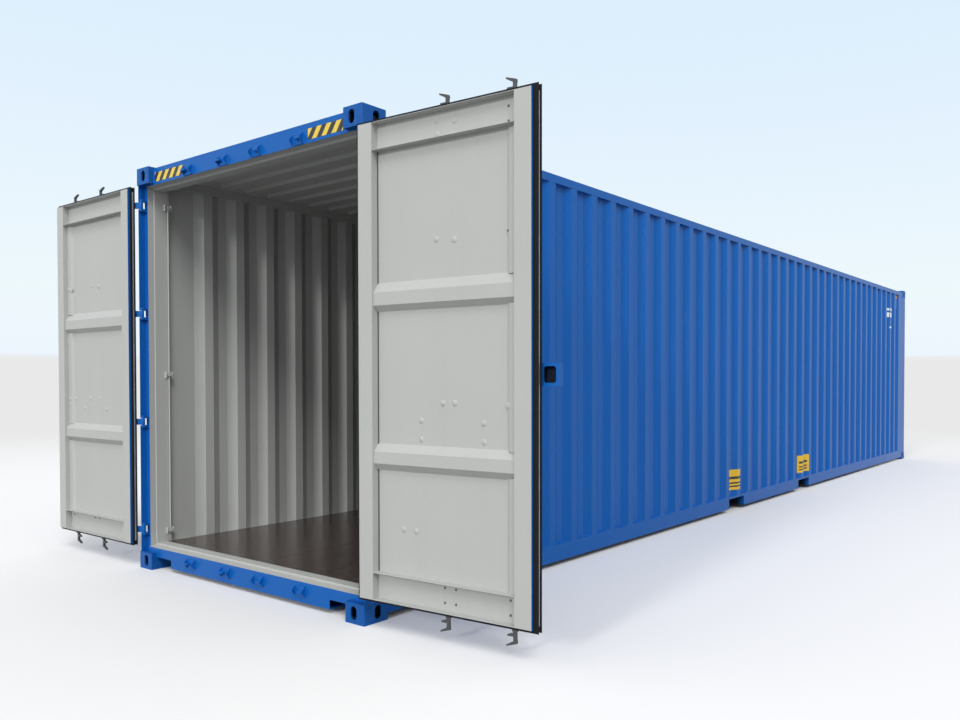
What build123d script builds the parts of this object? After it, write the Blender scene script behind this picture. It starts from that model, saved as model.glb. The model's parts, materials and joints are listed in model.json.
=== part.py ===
from build123d import *
import os

# A 40 ft high-cube dry freight container, in millimetres.
# X runs along the container with the doors at its low end, +Y is the left-hand side seen
# from inside looking at the front wall, and Z = 0 is the underside of the bottom corner castings.
# The origin is the centre of the bottom face.

os.makedirs("parts", exist_ok=True)

# Envelope
length = 12192
width = 2438
height = 2896
half_length = length / 2
half_width = width / 2

# Corner castings
casting_length = 178
casting_width = 162
casting_height = 118
casting_wall = 15
casting_load_wall = 28
casting_edge_radius = 6
load_slot_length = 124.5
load_slot_width = 63.5
load_slot_from_end = 103.5
load_slot_from_side = 89.5
side_slot_width = 51
side_slot_height = 79.5
side_slot_from_load_face = 60
casting_end = half_length - casting_length
casting_side = half_width - casting_width

# Door opening
jamb_y = half_width - 49
opening_bottom = 170
opening_top = height - 141
header_lip_z = height - 126
header_top = height - 12
header_face_x = -(half_length - 42)
sill_front_z = 152
sill_bottom = 28
frame_section_wall = 4
sill_cut_inner_y = half_width - 349
sill_cut_top = 86

# Door leaf, closed
leaf_bottom = opening_bottom + 10
leaf_top = opening_top - 5
leaf_height = leaf_top - leaf_bottom
leaf_thickness = 50
leaf_hinge_gap = 45
leaf_meeting_gap = 22
leaf_depth = 28
stile_width = 100
stile_wall = 3.2
cross_member_height = 150
cross_member_wall = 3
panel_wall = 2
panel_rib_depth = 36
panel_ribs = (
    (883, 921, 985, 1028),
    (leaf_top - 1011, leaf_top - 979, leaf_top - 910, leaf_top - 856),
)
leaf_inner_depth = leaf_depth + leaf_thickness
stop_clearance = 5

# Door gasket
gasket_body = 5
gasket_body_start = 14
gasket_body_depth = 32
gasket_lip_thickness = 8
gasket_hinge_lip = 20
gasket_end_lip = 14
gasket_free_lip = {"right": 32, "left": 4}

# Hinges
pin_x = -(half_length - 20)
pin_y = half_width - 24
pin_radius = 6.35
pin_clearance = 0.4
knuckle_radius = 13
hinge_count = 4
lowest_hinge = 280
highest_hinge = height - 261
blade_height = 44
blade_thickness = 8
blade_start_s = 30
blade_end_s = 150
lug_height = 18
lug_gap = 1.5
pin_overrun = 3
post_cutout_margin = 5
rest_angle = {"right": 184, "left": 180}

# Lock rods, cams and keepers
rod_radius = 17
inner_rod_from_edge = 146
rod_spacing = 420
rod_depth = 0
bracket_heights = (260, 1250, leaf_top - 660, leaf_top - 90)
bracket_height = 50
bracket_strap = 3
bracket_clearance = 0.5
bracket_plate = 5
bracket_plate_width = 100
keeper_z = {"bottom": 98, "top": height - 89}
keeper_width = 96
keeper_near = 34
keeper_plate = 6
keeper_plate_height = 66
keeper_cheek = 5
keeper_rod_gap = 6
tongue_thickness = 12
tongue_reach = 27
tongue_neck_gap = 8
cam_thickness = 14
cam_neck = 18
cam_shank = 49
cam_heel = 11
cam_heel_end = 22
claw_gap = 5
claw_reach = 51
claw_fall = 33
claw_tip = 8
short_claw_reach = 45
short_claw_tip = 8
short_claw_root = 20

# Lock handles
handle_z = 1110
handle_length = 370
handle_height = 34
handle_thickness = 9
hub_radius = 20
hub_clearance = 0.3
hub_height = 52
catch_from_rod = 160
catch_width = 46
catch_plate_height = 130
catch_plate = 5
catch_wall = 4
catch_clearance = 5

# Lock box and its staple
lock_box_from_edge = 17
lock_box_width = 100
lock_box_bottom = 1342
lock_box_height = 110
lock_box_depth = 40
lock_box_wall = 4
lock_box_back = 22
lock_flange_overlap = 53
staple_from_edge = 23
staple_height = 50
staple_reach = 24
staple_thickness = 8
staple_hole_radius = 7

# Corner posts
post_outer_y = half_width - 4
post_wall = 6
post_lip_x = -(half_length - 8)
post_front_leg_x = -(half_length - 56)
rebate_y = half_width - 44
channel_length = 113
channel_depth = 40
channel_wall = 12
front_post_face_x = half_length - 4
front_post_inner_y = half_width - 129
front_post_return_x = half_length - 40
front_post_side_y = half_width - 41

# Side rails
top_rail_size = 60
top_rail_wall = 3
top_rail_bottom = height - 96
bottom_rail_top = 160
bottom_rail_bottom = 36
bottom_rail_wall = 4.5
bottom_rail_flange = 44
rail_outer_y = half_width - 5

# Corrugated walls
wall_sheet = 2
side_pitch = 278
side_outer_flat = 72
side_inner_flat = 70
side_wall_depth = 36
front_pitch = 250
front_outer_flat = 110
front_inner_flat = 104
front_wall_depth = 45.6
front_wall_face_x = half_length - 6

# Roof
roof_pitch = 209
roof_wave_width = 118
roof_depth = 24
roof_draft = 30
roof_sheet = 2
roof_edge_y = half_width - 32
roof_wave_end = 62
header_plate_thickness = 4

# Base
floor_thickness = 28
floor_half_width = half_width - 53
floor_front_x = half_length - 66
cross_flange = 45
cross_wall = 4
cross_spacing = 305
tunnel_length = 3315
tunnel_half_width = 514.5
tunnel_height = 120
tunnel_plate = 4
front_sill_bottom = 36
pocket_width = 380
pocket_centre_x = 1022
pocket_height = 136
pocket_plate = 6

# Ventilators and lashing bars
vent_bottom = height - 336
vent_height = 160
vent_width = 64
vent_depth = 20
vent_slope = 14
lashing_x = -(half_length - 201)
lashing_gap = 12
lashing_radius = 5
lashing_heights = (250, 1405, height - 256)
lashing_lug_height = 16
lashing_lug_width = 26

# Values worked out from the sizes above
leaf_free_s = pin_y - leaf_meeting_gap
leaf_width = leaf_free_s - leaf_hinge_gap
inner_rod_s = leaf_free_s - inner_rod_from_edge
rod_s = {"outer": inner_rod_s - rod_spacing, "inner": inner_rod_s}
rod_bottom = keeper_z["bottom"] + keeper_plate_height / 2 + keeper_rod_gap
rod_top = keeper_z["top"] - keeper_plate_height / 2 - keeper_rod_gap
hinge_spacing = (highest_hinge - lowest_hinge) / (hinge_count - 1)
hinge_heights = [lowest_hinge + number * hinge_spacing for number in range(hinge_count)]
handle_depth = rod_depth - handle_thickness / 2
lock_box_start_s = leaf_free_s + lock_box_from_edge
lock_flange_s = leaf_free_s - lock_flange_overlap
staple_s = leaf_free_s - staple_from_edge
opening_stop_x = pin_x + leaf_inner_depth + stop_clearance
floor_bottom = opening_bottom - floor_thickness
lashing_y = jamb_y - lashing_gap
tongue_length = keeper_width - keeper_near - cam_neck / 2 - tongue_neck_gap
roof_base = top_rail_bottom + top_rail_size + roof_sheet
side_half_recess = (side_pitch - side_outer_flat) / 2
vent_wave = (casting_end - side_half_recess) // side_pitch
tunnel_start_x = half_length - tunnel_length
sides = {"right": -1, "left": 1}


def finish(piece, name):
    """Labels a finished sub-part and writes it under its own name."""
    piece.part.label = name
    export_step(piece.part, f"parts/{name}.step")


def pressed_outline(span, pitch, outer_flat, inner_flat, depth):
    """Points along a pressed sheet's outer face, with whole waves and a plain strip at each end."""
    slope = (pitch - outer_flat - inner_flat) / 2
    half_recess = inner_flat / 2 + slope
    waves = int((span / 2 - half_recess) // pitch)
    points = [(-span / 2, 0)]
    for wave in range(-waves, waves + 1):
        centre = wave * pitch
        points.append((centre - half_recess, 0))
        points.append((centre - inner_flat / 2, -depth))
        points.append((centre + inner_flat / 2, -depth))
        points.append((centre + half_recess, 0))
    points.append((span / 2, 0))
    return points


def sheet_points(outline, sheet):
    """Closes an outline into a sheet of the given thickness on its inner side."""
    return outline + [(along, inward - sheet) for along, inward in reversed(outline)]


def corner_casting(load_z, inward):
    """One hollow casting at the +X +Y corner, with its load face at load_z."""
    centre = (half_length - casting_length / 2, half_width - casting_width / 2)
    oval_z = load_z + inward * side_slot_from_load_face
    with BuildPart() as casting:
        with BuildSketch(Plane.XY.offset(load_z)):
            with Locations(centre):
                Rectangle(casting_length, casting_width)
        extrude(amount=inward * casting_height)
        fillet(casting.edges().filter_by(Axis.Z), casting_edge_radius)
        with BuildSketch(Plane.XY.offset(load_z + inward * casting_load_wall)):
            with Locations(centre):
                Rectangle(casting_length - 2 * casting_wall, casting_width - 2 * casting_wall)
        cavity_height = casting_height - casting_load_wall - casting_wall
        extrude(amount=inward * cavity_height, mode=Mode.SUBTRACT)
        with BuildSketch(Plane.XY.offset(load_z)):
            with Locations((half_length - load_slot_from_end, half_width - load_slot_from_side)):
                SlotOverall(load_slot_length, load_slot_width)
        extrude(amount=inward * casting_load_wall, mode=Mode.SUBTRACT)
        with BuildSketch(Plane.YZ.offset(half_length)):
            with Locations((half_width - load_slot_from_side, oval_z)):
                SlotOverall(side_slot_height, side_slot_width, rotation=90)
        extrude(amount=-casting_wall, mode=Mode.SUBTRACT)
        with BuildSketch(Plane.XZ.offset(-half_width)):
            with Locations((half_length - load_slot_from_end, oval_z)):
                SlotOverall(side_slot_height, side_slot_width, rotation=90)
        extrude(amount=casting_wall, mode=Mode.SUBTRACT)
    return casting.part


def casting_set(load_z, inward):
    """The four castings of one level, mirrored from one corner."""
    with BuildPart() as castings:
        add(corner_casting(load_z, inward))
        mirror(about=Plane.YZ)
        mirror(about=Plane.XZ)
    return castings


def casting_space(low_z):
    """The four blocks that the corner castings of one level fill."""
    with BuildPart() as space:
        with BuildSketch(Plane.XY.offset(low_z)):
            with GridLocations(half_length + casting_end, half_width + casting_side, 2, 2):
                Rectangle(casting_length, casting_width)
        extrude(amount=casting_height)
    return space.part


def rear_post():
    """The +Y door post: a pressed outer section with its rebate, closed by an inner channel."""
    channel_back_x = opening_stop_x + channel_length
    inner_leg_y = post_outer_y - post_wall
    with BuildPart() as post:
        with BuildSketch(Plane.XY.offset(casting_height)):
            with BuildLine():
                Polyline(
                    (post_lip_x, post_outer_y),
                    (-casting_end, post_outer_y),
                    (-casting_end, inner_leg_y),
                    (channel_back_x, inner_leg_y),
                    (channel_back_x, jamb_y),
                    (opening_stop_x, jamb_y),
                    (opening_stop_x, rebate_y),
                    (post_front_leg_x, rebate_y),
                    (post_front_leg_x, inner_leg_y),
                    (post_lip_x, inner_leg_y),
                    close=True,
                )
            make_face()
            with BuildLine():
                Polyline(
                    (post_front_leg_x + post_wall, inner_leg_y),
                    (opening_stop_x, inner_leg_y),
                    (opening_stop_x, rebate_y + post_wall),
                    (post_front_leg_x + post_wall, rebate_y + post_wall),
                    close=True,
                )
            make_face(mode=Mode.SUBTRACT)
            with BuildLine():
                Polyline(
                    (opening_stop_x + channel_wall, inner_leg_y),
                    (channel_back_x - channel_wall, inner_leg_y),
                    (channel_back_x - channel_wall, jamb_y + channel_wall),
                    (opening_stop_x + channel_wall, jamb_y + channel_wall),
                    close=True,
                )
            make_face(mode=Mode.SUBTRACT)
        extrude(amount=height - 2 * casting_height)
        notch_half = blade_height / 2 + post_cutout_margin
        for hinge_z in hinge_heights:
            with BuildSketch(Plane.XY.offset(hinge_z - notch_half)):
                with Locations((post_front_leg_x, inner_leg_y)):
                    Rectangle(
                        post_front_leg_x - post_lip_x, post_wall, align=(Align.MAX, Align.MIN)
                    )
            extrude(amount=2 * notch_half, mode=Mode.SUBTRACT)
        with BuildSketch(Plane.XY.offset(casting_height)):
            with Locations((-casting_end, jamb_y)):
                Rectangle(casting_length, channel_depth, align=(Align.MIN, Align.MIN))
        extrude(amount=bottom_rail_top - casting_height, mode=Mode.SUBTRACT)
    return post


def front_posts():
    """Two closed pressed posts at the front corners, with a slanted inner face."""
    with BuildPart() as posts:
        with BuildSketch(Plane.XY.offset(casting_height)):
            with BuildLine():
                Polyline(
                    (casting_end, front_post_side_y),
                    (casting_end, post_outer_y),
                    (front_post_face_x, post_outer_y),
                    (front_post_face_x, front_post_inner_y),
                    (front_post_return_x, front_post_inner_y),
                    close=True,
                )
            make_face()
            offset(amount=-post_wall, kind=Kind.INTERSECTION, mode=Mode.SUBTRACT)
        extrude(amount=height - 2 * casting_height)
        mirror(about=Plane.XZ)
    return posts


def door_header():
    """Hollow beam over the doors, with the lip that the leaves close under."""
    castings = casting_space(height - casting_height)
    with BuildPart() as header:
        with BuildSketch(Plane.XZ):
            with BuildLine():
                Polyline(
                    (header_face_x, header_lip_z),
                    (opening_stop_x, header_lip_z),
                    (opening_stop_x, opening_top),
                    (-casting_end, opening_top),
                    (-casting_end, header_top),
                    (header_face_x, header_top),
                    close=True,
                )
            make_face()
            offset(amount=-frame_section_wall, kind=Kind.INTERSECTION, mode=Mode.SUBTRACT)
        extrude(amount=jamb_y, both=True)
        add(castings, mode=Mode.SUBTRACT)
    return header


def door_sill():
    """Hollow beam under the doors, with a drained step and cut-outs beside the castings."""
    castings = casting_space(0)
    with BuildPart() as sill:
        with BuildSketch(Plane.XZ):
            with BuildLine():
                Polyline(
                    (header_face_x, sill_bottom),
                    (header_face_x, sill_front_z),
                    (opening_stop_x, bottom_rail_top),
                    (opening_stop_x, opening_bottom),
                    (-casting_end, opening_bottom),
                    (-casting_end, sill_bottom),
                    close=True,
                )
            make_face()
            offset(amount=-frame_section_wall, kind=Kind.INTERSECTION, mode=Mode.SUBTRACT)
        extrude(amount=jamb_y, both=True)
        add(castings, mode=Mode.SUBTRACT)
        with BuildSketch(Plane.XY):
            with Locations((-casting_end, sill_cut_inner_y), (-casting_end, -casting_side)):
                Rectangle(casting_length, casting_side - sill_cut_inner_y, align=(Align.MAX, Align.MIN))
        extrude(amount=sill_cut_top, mode=Mode.SUBTRACT)
    return sill


def cam_keepers():
    """Keepers on the header and the sill: base plate, two cheeks and the tongue that the claws grip."""
    plate_x = header_face_x - keeper_plate
    tip_x = plate_x - tongue_reach
    with BuildPart() as keepers:
        for s in rod_s.values():
            far_y = s - pin_y + keeper_near - keeper_width
            for z in keeper_z.values():
                with BuildSketch(Plane.XZ.offset(-far_y)):
                    with Locations((header_face_x, z)):
                        Rectangle(keeper_plate, keeper_plate_height, align=(Align.MAX, Align.CENTER))
                extrude(amount=-keeper_width)
                with BuildSketch(Plane.XZ.offset(-far_y)):
                    with Locations((plate_x, z)):
                        Rectangle(tongue_reach, tongue_thickness, align=(Align.MAX, Align.CENTER))
                extrude(amount=-tongue_length)
                for cheek_y in (far_y, far_y + keeper_width - keeper_cheek):
                    with BuildSketch(Plane.XZ.offset(-cheek_y)):
                        with BuildLine():
                            Polyline(
                                (plate_x, z + keeper_plate_height / 2),
                                (tip_x, z + tongue_thickness / 2),
                                (tip_x, z - tongue_thickness / 2),
                                (plate_x, z - keeper_plate_height / 2),
                                close=True,
                            )
                        make_face()
                    extrude(amount=-keeper_cheek)
        mirror(about=Plane.XZ)
    return keepers


def top_side_rails():
    """Square tubes along the top of both side walls."""
    centre_y = post_outer_y - top_rail_size / 2
    centre_z = top_rail_bottom + top_rail_size / 2
    with BuildPart() as rails:
        with BuildSketch(Plane.YZ):
            with Locations((centre_y, centre_z), (-centre_y, centre_z)):
                Rectangle(top_rail_size, top_rail_size)
            with Locations((centre_y, centre_z), (-centre_y, centre_z)):
                inner = top_rail_size - 2 * top_rail_wall
                Rectangle(inner, inner, mode=Mode.SUBTRACT)
        extrude(amount=casting_end, both=True)
    return rails


def bottom_side_rails():
    """Channels along the bottom of both side walls, notched for the fork pockets."""
    with BuildPart() as rails:
        with BuildSketch(Plane.YZ):
            with Locations((rail_outer_y, bottom_rail_bottom)):
                Rectangle(
                    bottom_rail_flange,
                    bottom_rail_top - bottom_rail_bottom,
                    align=(Align.MAX, Align.MIN),
                )
            with Locations((rail_outer_y - bottom_rail_wall, bottom_rail_bottom + bottom_rail_wall)):
                Rectangle(
                    bottom_rail_flange,
                    bottom_rail_top - bottom_rail_bottom - 2 * bottom_rail_wall,
                    align=(Align.MAX, Align.MIN),
                    mode=Mode.SUBTRACT,
                )
        extrude(amount=casting_end, both=True)
        with BuildSketch(Plane.XZ.offset(-rail_outer_y)):
            with Locations((pocket_centre_x, 0), (-pocket_centre_x, 0)):
                Rectangle(
                    pocket_width + 2 * pocket_plate,
                    pocket_height + pocket_plate,
                    align=(Align.CENTER, Align.MIN),
                )
        extrude(amount=bottom_rail_flange, mode=Mode.SUBTRACT)
        mirror(about=Plane.XZ)
    return rails


def front_top_rail():
    """Hollow beam over the front wall, between the top castings."""
    with BuildPart() as rail:
        low_z = height - casting_height
        with BuildSketch(Plane.XZ):
            with Locations((floor_front_x, low_z)):
                Rectangle(
                    front_post_face_x - floor_front_x, header_top - low_z, align=(Align.MIN, Align.MIN)
                )
            offset(amount=-frame_section_wall, kind=Kind.INTERSECTION, mode=Mode.SUBTRACT)
        extrude(amount=casting_side, both=True)
    return rail


def front_sill():
    """Hollow beam under the front wall, arched over the gooseneck tunnel."""
    castings = casting_space(0)
    with BuildPart() as sill:
        with BuildSketch(Plane.XZ):
            with Locations((floor_front_x, front_sill_bottom)):
                Rectangle(
                    front_post_face_x - floor_front_x,
                    bottom_rail_top - front_sill_bottom,
                    align=(Align.MIN, Align.MIN),
                )
            offset(amount=-frame_section_wall, kind=Kind.INTERSECTION, mode=Mode.SUBTRACT)
        extrude(amount=front_post_inner_y, both=True)
        add(castings, mode=Mode.SUBTRACT)
        with BuildSketch(Plane.YZ.offset(floor_front_x)):
            Rectangle(
                2 * (tunnel_half_width + tunnel_plate),
                tunnel_height + tunnel_plate,
                align=(Align.CENTER, Align.MIN),
            )
        extrude(amount=front_post_face_x - floor_front_x, mode=Mode.SUBTRACT)
    return sill


def front_wall():
    """Pressed steel end wall with upright waves."""
    outline = pressed_outline(
        2 * front_post_inner_y, front_pitch, front_outer_flat, front_inner_flat, front_wall_depth
    )
    with BuildPart() as wall:
        with BuildSketch(Plane.XY.offset(bottom_rail_top)):
            with BuildLine():
                Polyline(
                    *[
                        (front_wall_face_x + inward, along)
                        for along, inward in sheet_points(outline, wall_sheet)
                    ],
                    close=True,
                )
            make_face()
        extrude(amount=height - casting_height - bottom_rail_top)
    return wall


def side_wall():
    """Pressed steel wall of the +Y side, with upright waves."""
    outline = pressed_outline(
        2 * casting_end, side_pitch, side_outer_flat, side_inner_flat, side_wall_depth
    )
    with BuildPart() as wall:
        with BuildSketch(Plane.XY.offset(bottom_rail_top)):
            with BuildLine():
                Polyline(
                    *[(along, rail_outer_y + inward) for along, inward in sheet_points(outline, wall_sheet)],
                    close=True,
                )
            make_face()
        extrude(amount=top_rail_bottom - bottom_rail_top)
    return wall


def roof_panel():
    """Pressed roof sheet: cross waves with slanted ends on a flat sheet that rests on the side rails."""
    half_count = int((casting_end - roof_wave_width / 2) // roof_pitch)
    crests = [((number + 0.5) * roof_pitch, 0) for number in range(-half_count, half_count)]
    with BuildPart() as roof:
        with BuildSketch(Plane.XY.offset(roof_base)):
            Rectangle(2 * casting_end, 2 * roof_edge_y)
        extrude(amount=-roof_sheet)
        with BuildSketch(Plane.XY.offset(roof_base)):
            with Locations(*crests):
                Rectangle(roof_wave_width, 2 * (roof_edge_y - roof_wave_end))
        extrude(amount=roof_depth, taper=roof_draft)
        with BuildSketch(Plane.XY.offset(roof_base - roof_sheet)):
            with Locations(*crests):
                Rectangle(roof_wave_width, 2 * (roof_edge_y - roof_wave_end))
        extrude(amount=roof_depth, taper=roof_draft, mode=Mode.SUBTRACT)
    return roof


def roof_header_plates():
    """Flat plates over the header and the front top rail, and the riser at the roof's front end."""
    with BuildPart() as plates:
        with BuildSketch(Plane.XY.offset(header_top)):
            with Locations((-casting_end, 0)):
                Rectangle(-casting_end - header_face_x, 2 * casting_side, align=(Align.MAX, Align.CENTER))
            with Locations((casting_end, 0)):
                Rectangle(front_post_face_x - casting_end, 2 * casting_side, align=(Align.MIN, Align.CENTER))
        extrude(amount=header_plate_thickness)
        with BuildSketch(Plane.XY.offset(roof_base - roof_sheet)):
            with Locations((casting_end, 0)):
                Rectangle(header_plate_thickness, 2 * casting_side, align=(Align.MIN, Align.CENTER))
        extrude(amount=header_top + roof_sheet - roof_base)
    return plates


def floor_boards():
    """Plywood floor between the side rails, narrowed between the front posts."""
    with BuildPart() as floor:
        with BuildSketch(Plane.XY.offset(floor_bottom)):
            Rectangle(2 * casting_end, 2 * floor_half_width)
            with Locations((casting_end, 0)):
                Rectangle(
                    floor_front_x - casting_end, 2 * front_post_inner_y, align=(Align.MIN, Align.CENTER)
                )
        extrude(amount=floor_thickness)
    return floor


def cross_channel_sketch(web_x):
    """Channel section of a cross member, with its web at web_x and its flanges towards the front."""
    low_z = bottom_rail_bottom + bottom_rail_wall
    with Locations((web_x, low_z)):
        Rectangle(cross_flange, floor_bottom - low_z, align=(Align.MIN, Align.MIN))
    with Locations((web_x + cross_wall, low_z + cross_wall)):
        Rectangle(
            cross_flange,
            floor_bottom - low_z - 2 * cross_wall,
            align=(Align.MIN, Align.MIN),
            mode=Mode.SUBTRACT,
        )


def clears_pockets(web_x):
    """Whether a cross member with its web at web_x stands clear of both fork pockets."""
    reach = pocket_width / 2 + pocket_plate
    low_x, high_x = web_x, web_x + cross_flange
    return all(
        high_x < centre - reach or low_x > centre + reach for centre in (-pocket_centre_x, pocket_centre_x)
    )


def cross_members():
    """Floor bearers from side rail to side rail, behind the gooseneck tunnel."""
    count = int((tunnel_start_x + casting_end - cross_flange) // cross_spacing)
    webs = [tunnel_start_x - cross_flange - step * cross_spacing for step in range(count + 1)]
    with BuildPart() as members:
        for web_x in webs:
            if clears_pockets(web_x):
                with BuildSketch(Plane.XZ):
                    cross_channel_sketch(web_x)
                extrude(amount=rail_outer_y - bottom_rail_wall, both=True)
    return members


def outrigger_webs():
    """Places of the bearers along the gooseneck tunnel."""
    count = int((casting_end - tunnel_start_x - cross_flange) // cross_spacing)
    return [tunnel_start_x + (step + 1) * cross_spacing - cross_flange for step in range(count)]


def tunnel_outriggers():
    """Short floor bearers from the gooseneck tunnel out to the side rails."""
    tunnel_side_y = tunnel_half_width + tunnel_plate
    with BuildPart() as outriggers:
        for web_x in outrigger_webs():
            with BuildSketch(Plane.XZ.offset(-tunnel_side_y)):
                cross_channel_sketch(web_x)
            extrude(amount=tunnel_side_y + bottom_rail_wall - rail_outer_y)
        mirror(about=Plane.XZ)
    return outriggers


def gooseneck_tunnel():
    """Pressed tunnel for a gooseneck chassis, with floor battens across its top and a closed end."""
    outer = tunnel_half_width + tunnel_plate
    top_z = tunnel_height + tunnel_plate
    with BuildPart() as tunnel:
        with BuildSketch(Plane.YZ.offset(tunnel_start_x)):
            with Locations((0, front_sill_bottom)):
                Rectangle(2 * outer, top_z - front_sill_bottom, align=(Align.CENTER, Align.MIN))
        extrude(amount=front_post_face_x - tunnel_start_x)
        with BuildSketch(Plane.YZ.offset(tunnel_start_x + tunnel_plate)):
            Rectangle(2 * tunnel_half_width, tunnel_height, align=(Align.CENTER, Align.MIN))
        extrude(amount=tunnel_length, mode=Mode.SUBTRACT)
        with BuildSketch(Plane.XY.offset(top_z)):
            for web_x in outrigger_webs():
                with Locations((web_x, 0)):
                    Rectangle(cross_flange, 2 * outer, align=(Align.MIN, Align.CENTER))
        extrude(amount=floor_bottom - top_z)
    return tunnel


def fork_pockets():
    """Two open-bottomed fork pockets that run through under the floor."""
    outer = pocket_width + 2 * pocket_plate
    with BuildPart() as pockets:
        with BuildSketch(Plane.XZ):
            with Locations((pocket_centre_x, bottom_rail_bottom), (-pocket_centre_x, bottom_rail_bottom)):
                Rectangle(
                    outer,
                    pocket_height + pocket_plate - bottom_rail_bottom,
                    align=(Align.CENTER, Align.MIN),
                )
                Rectangle(
                    pocket_width,
                    pocket_height - bottom_rail_bottom,
                    align=(Align.CENTER, Align.MIN),
                    mode=Mode.SUBTRACT,
                )
        extrude(amount=rail_outer_y, both=True)
    return pockets


def ventilators():
    """Moulded vent covers in a wave of the side walls near both ends, with a sloped top."""
    seat_y = rail_outer_y - side_wall_depth
    with BuildPart() as vents:
        with BuildSketch(Plane.YZ.offset(vent_wave * side_pitch - vent_width / 2)):
            with BuildLine():
                Polyline(
                    (seat_y, vent_bottom),
                    (seat_y + vent_depth, vent_bottom),
                    (seat_y + vent_depth, vent_bottom + vent_height - vent_slope),
                    (seat_y, vent_bottom + vent_height),
                    close=True,
                )
            make_face()
        extrude(amount=vent_width)
        mirror(about=Plane.YZ)
        mirror(about=Plane.XZ)
    return vents


def lashing_bars():
    """Upright lashing bars on the inner faces of the door posts, held by lugs."""
    low_z = lashing_heights[0] - lashing_lug_height
    high_z = lashing_heights[-1] + lashing_lug_height
    with BuildPart() as bars:
        with BuildSketch(Plane.XY.offset(low_z)):
            with Locations((lashing_x, lashing_y)):
                Circle(lashing_radius)
        extrude(amount=high_z - low_z)
        for z in lashing_heights:
            with BuildSketch(Plane.XY.offset(z - lashing_lug_height / 2)):
                with Locations((lashing_x, lashing_y)):
                    Rectangle(lashing_lug_width, 2 * lashing_gap, align=(Align.CENTER, Align.CENTER))
            extrude(amount=lashing_lug_height)
        mirror(about=Plane.XZ)
    return bars


def hinge_lugs():
    """Pairs of lugs on the door posts, each pair joined by its pin."""
    half_stack = blade_height / 2 + lug_gap
    with BuildPart() as lugs:
        for hinge_z in hinge_heights:
            for low_z in (hinge_z - half_stack - lug_height, hinge_z + half_stack):
                with BuildSketch(Plane.XY.offset(low_z)):
                    with Locations((pin_x, pin_y)):
                        Circle(knuckle_radius)
                    with Locations((pin_x, pin_y - knuckle_radius)):
                        Rectangle(
                            post_front_leg_x - pin_x,
                            post_outer_y - post_wall - pin_y + knuckle_radius,
                            align=(Align.MIN, Align.MIN),
                        )
                extrude(amount=lug_height)
            with BuildSketch(Plane.XY.offset(hinge_z - half_stack - lug_height - pin_overrun)):
                with Locations((pin_x, pin_y)):
                    Circle(pin_radius)
            extrude(amount=2 * (half_stack + lug_height + pin_overrun))
        mirror(about=Plane.XZ)
    return lugs


def hang(leaf_piece, side):
    """Turns a piece of the closed right-hand leaf, drawn from its hinge pin, to its rest place on a side."""
    solid = leaf_piece.part if side == "right" else mirror(leaf_piece.part, about=Plane.XZ)
    sign = sides[side]
    with BuildPart() as hung:
        add(Pos(pin_x, sign * pin_y, 0) * Rot(0, 0, -sign * rest_angle[side]) * solid)
    return hung


def leaf_frame():
    """Two square-tube stiles joined by a top and a bottom channel that open towards the inside."""
    with BuildPart() as frame:
        with BuildSketch(Plane.XY.offset(leaf_bottom)):
            for start_s in (leaf_hinge_gap, leaf_free_s - stile_width):
                with Locations((leaf_depth + leaf_thickness / 2, start_s + stile_width / 2)):
                    Rectangle(leaf_thickness, stile_width)
                    Rectangle(
                        leaf_thickness - 2 * stile_wall, stile_width - 2 * stile_wall, mode=Mode.SUBTRACT
                    )
        extrude(amount=leaf_height)
        with BuildSketch(Plane.XZ.offset(-leaf_hinge_gap - stile_width)):
            for low_z in (leaf_bottom, leaf_top - cross_member_height):
                with Locations((leaf_depth, low_z)):
                    Rectangle(leaf_thickness, cross_member_height, align=(Align.MIN, Align.MIN))
                with Locations((leaf_depth + cross_member_wall, low_z + cross_member_wall)):
                    Rectangle(
                        leaf_thickness,
                        cross_member_height - 2 * cross_member_wall,
                        align=(Align.MIN, Align.MIN),
                        mode=Mode.SUBTRACT,
                    )
        extrude(amount=2 * stile_width - leaf_width)
    return frame


def leaf_panel():
    """Pressed door sheet near the outer face, with two ribs that bulge towards the inside."""
    face = [(leaf_depth, leaf_bottom + cross_member_height)]
    for foot, shoulder, crest, end in panel_ribs:
        face += [
            (leaf_depth, foot),
            (leaf_depth + panel_rib_depth, shoulder),
            (leaf_depth + panel_rib_depth, crest),
            (leaf_depth, end),
        ]
    face.append((leaf_depth, leaf_top - cross_member_height))
    back = [(near + panel_wall, z) for near, z in reversed(face)]
    with BuildPart() as panel:
        with BuildSketch(Plane.XZ.offset(-leaf_hinge_gap - stile_width)):
            with BuildLine():
                Polyline(*face, *back, close=True)
            make_face()
        extrude(amount=2 * stile_width - leaf_width)
    return panel


def gasket_strip(edge, direction, reach):
    """Section points of a gasket strip that tapers from the leaf's edge to its lip."""
    near = leaf_inner_depth - gasket_body_start - gasket_body_depth
    far = leaf_inner_depth - gasket_body_start
    base = edge + direction * gasket_body
    tip = edge + direction * reach
    return [(near, edge), (near, tip), (near + gasket_lip_thickness, tip), (far, base), (far, edge)]


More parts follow.
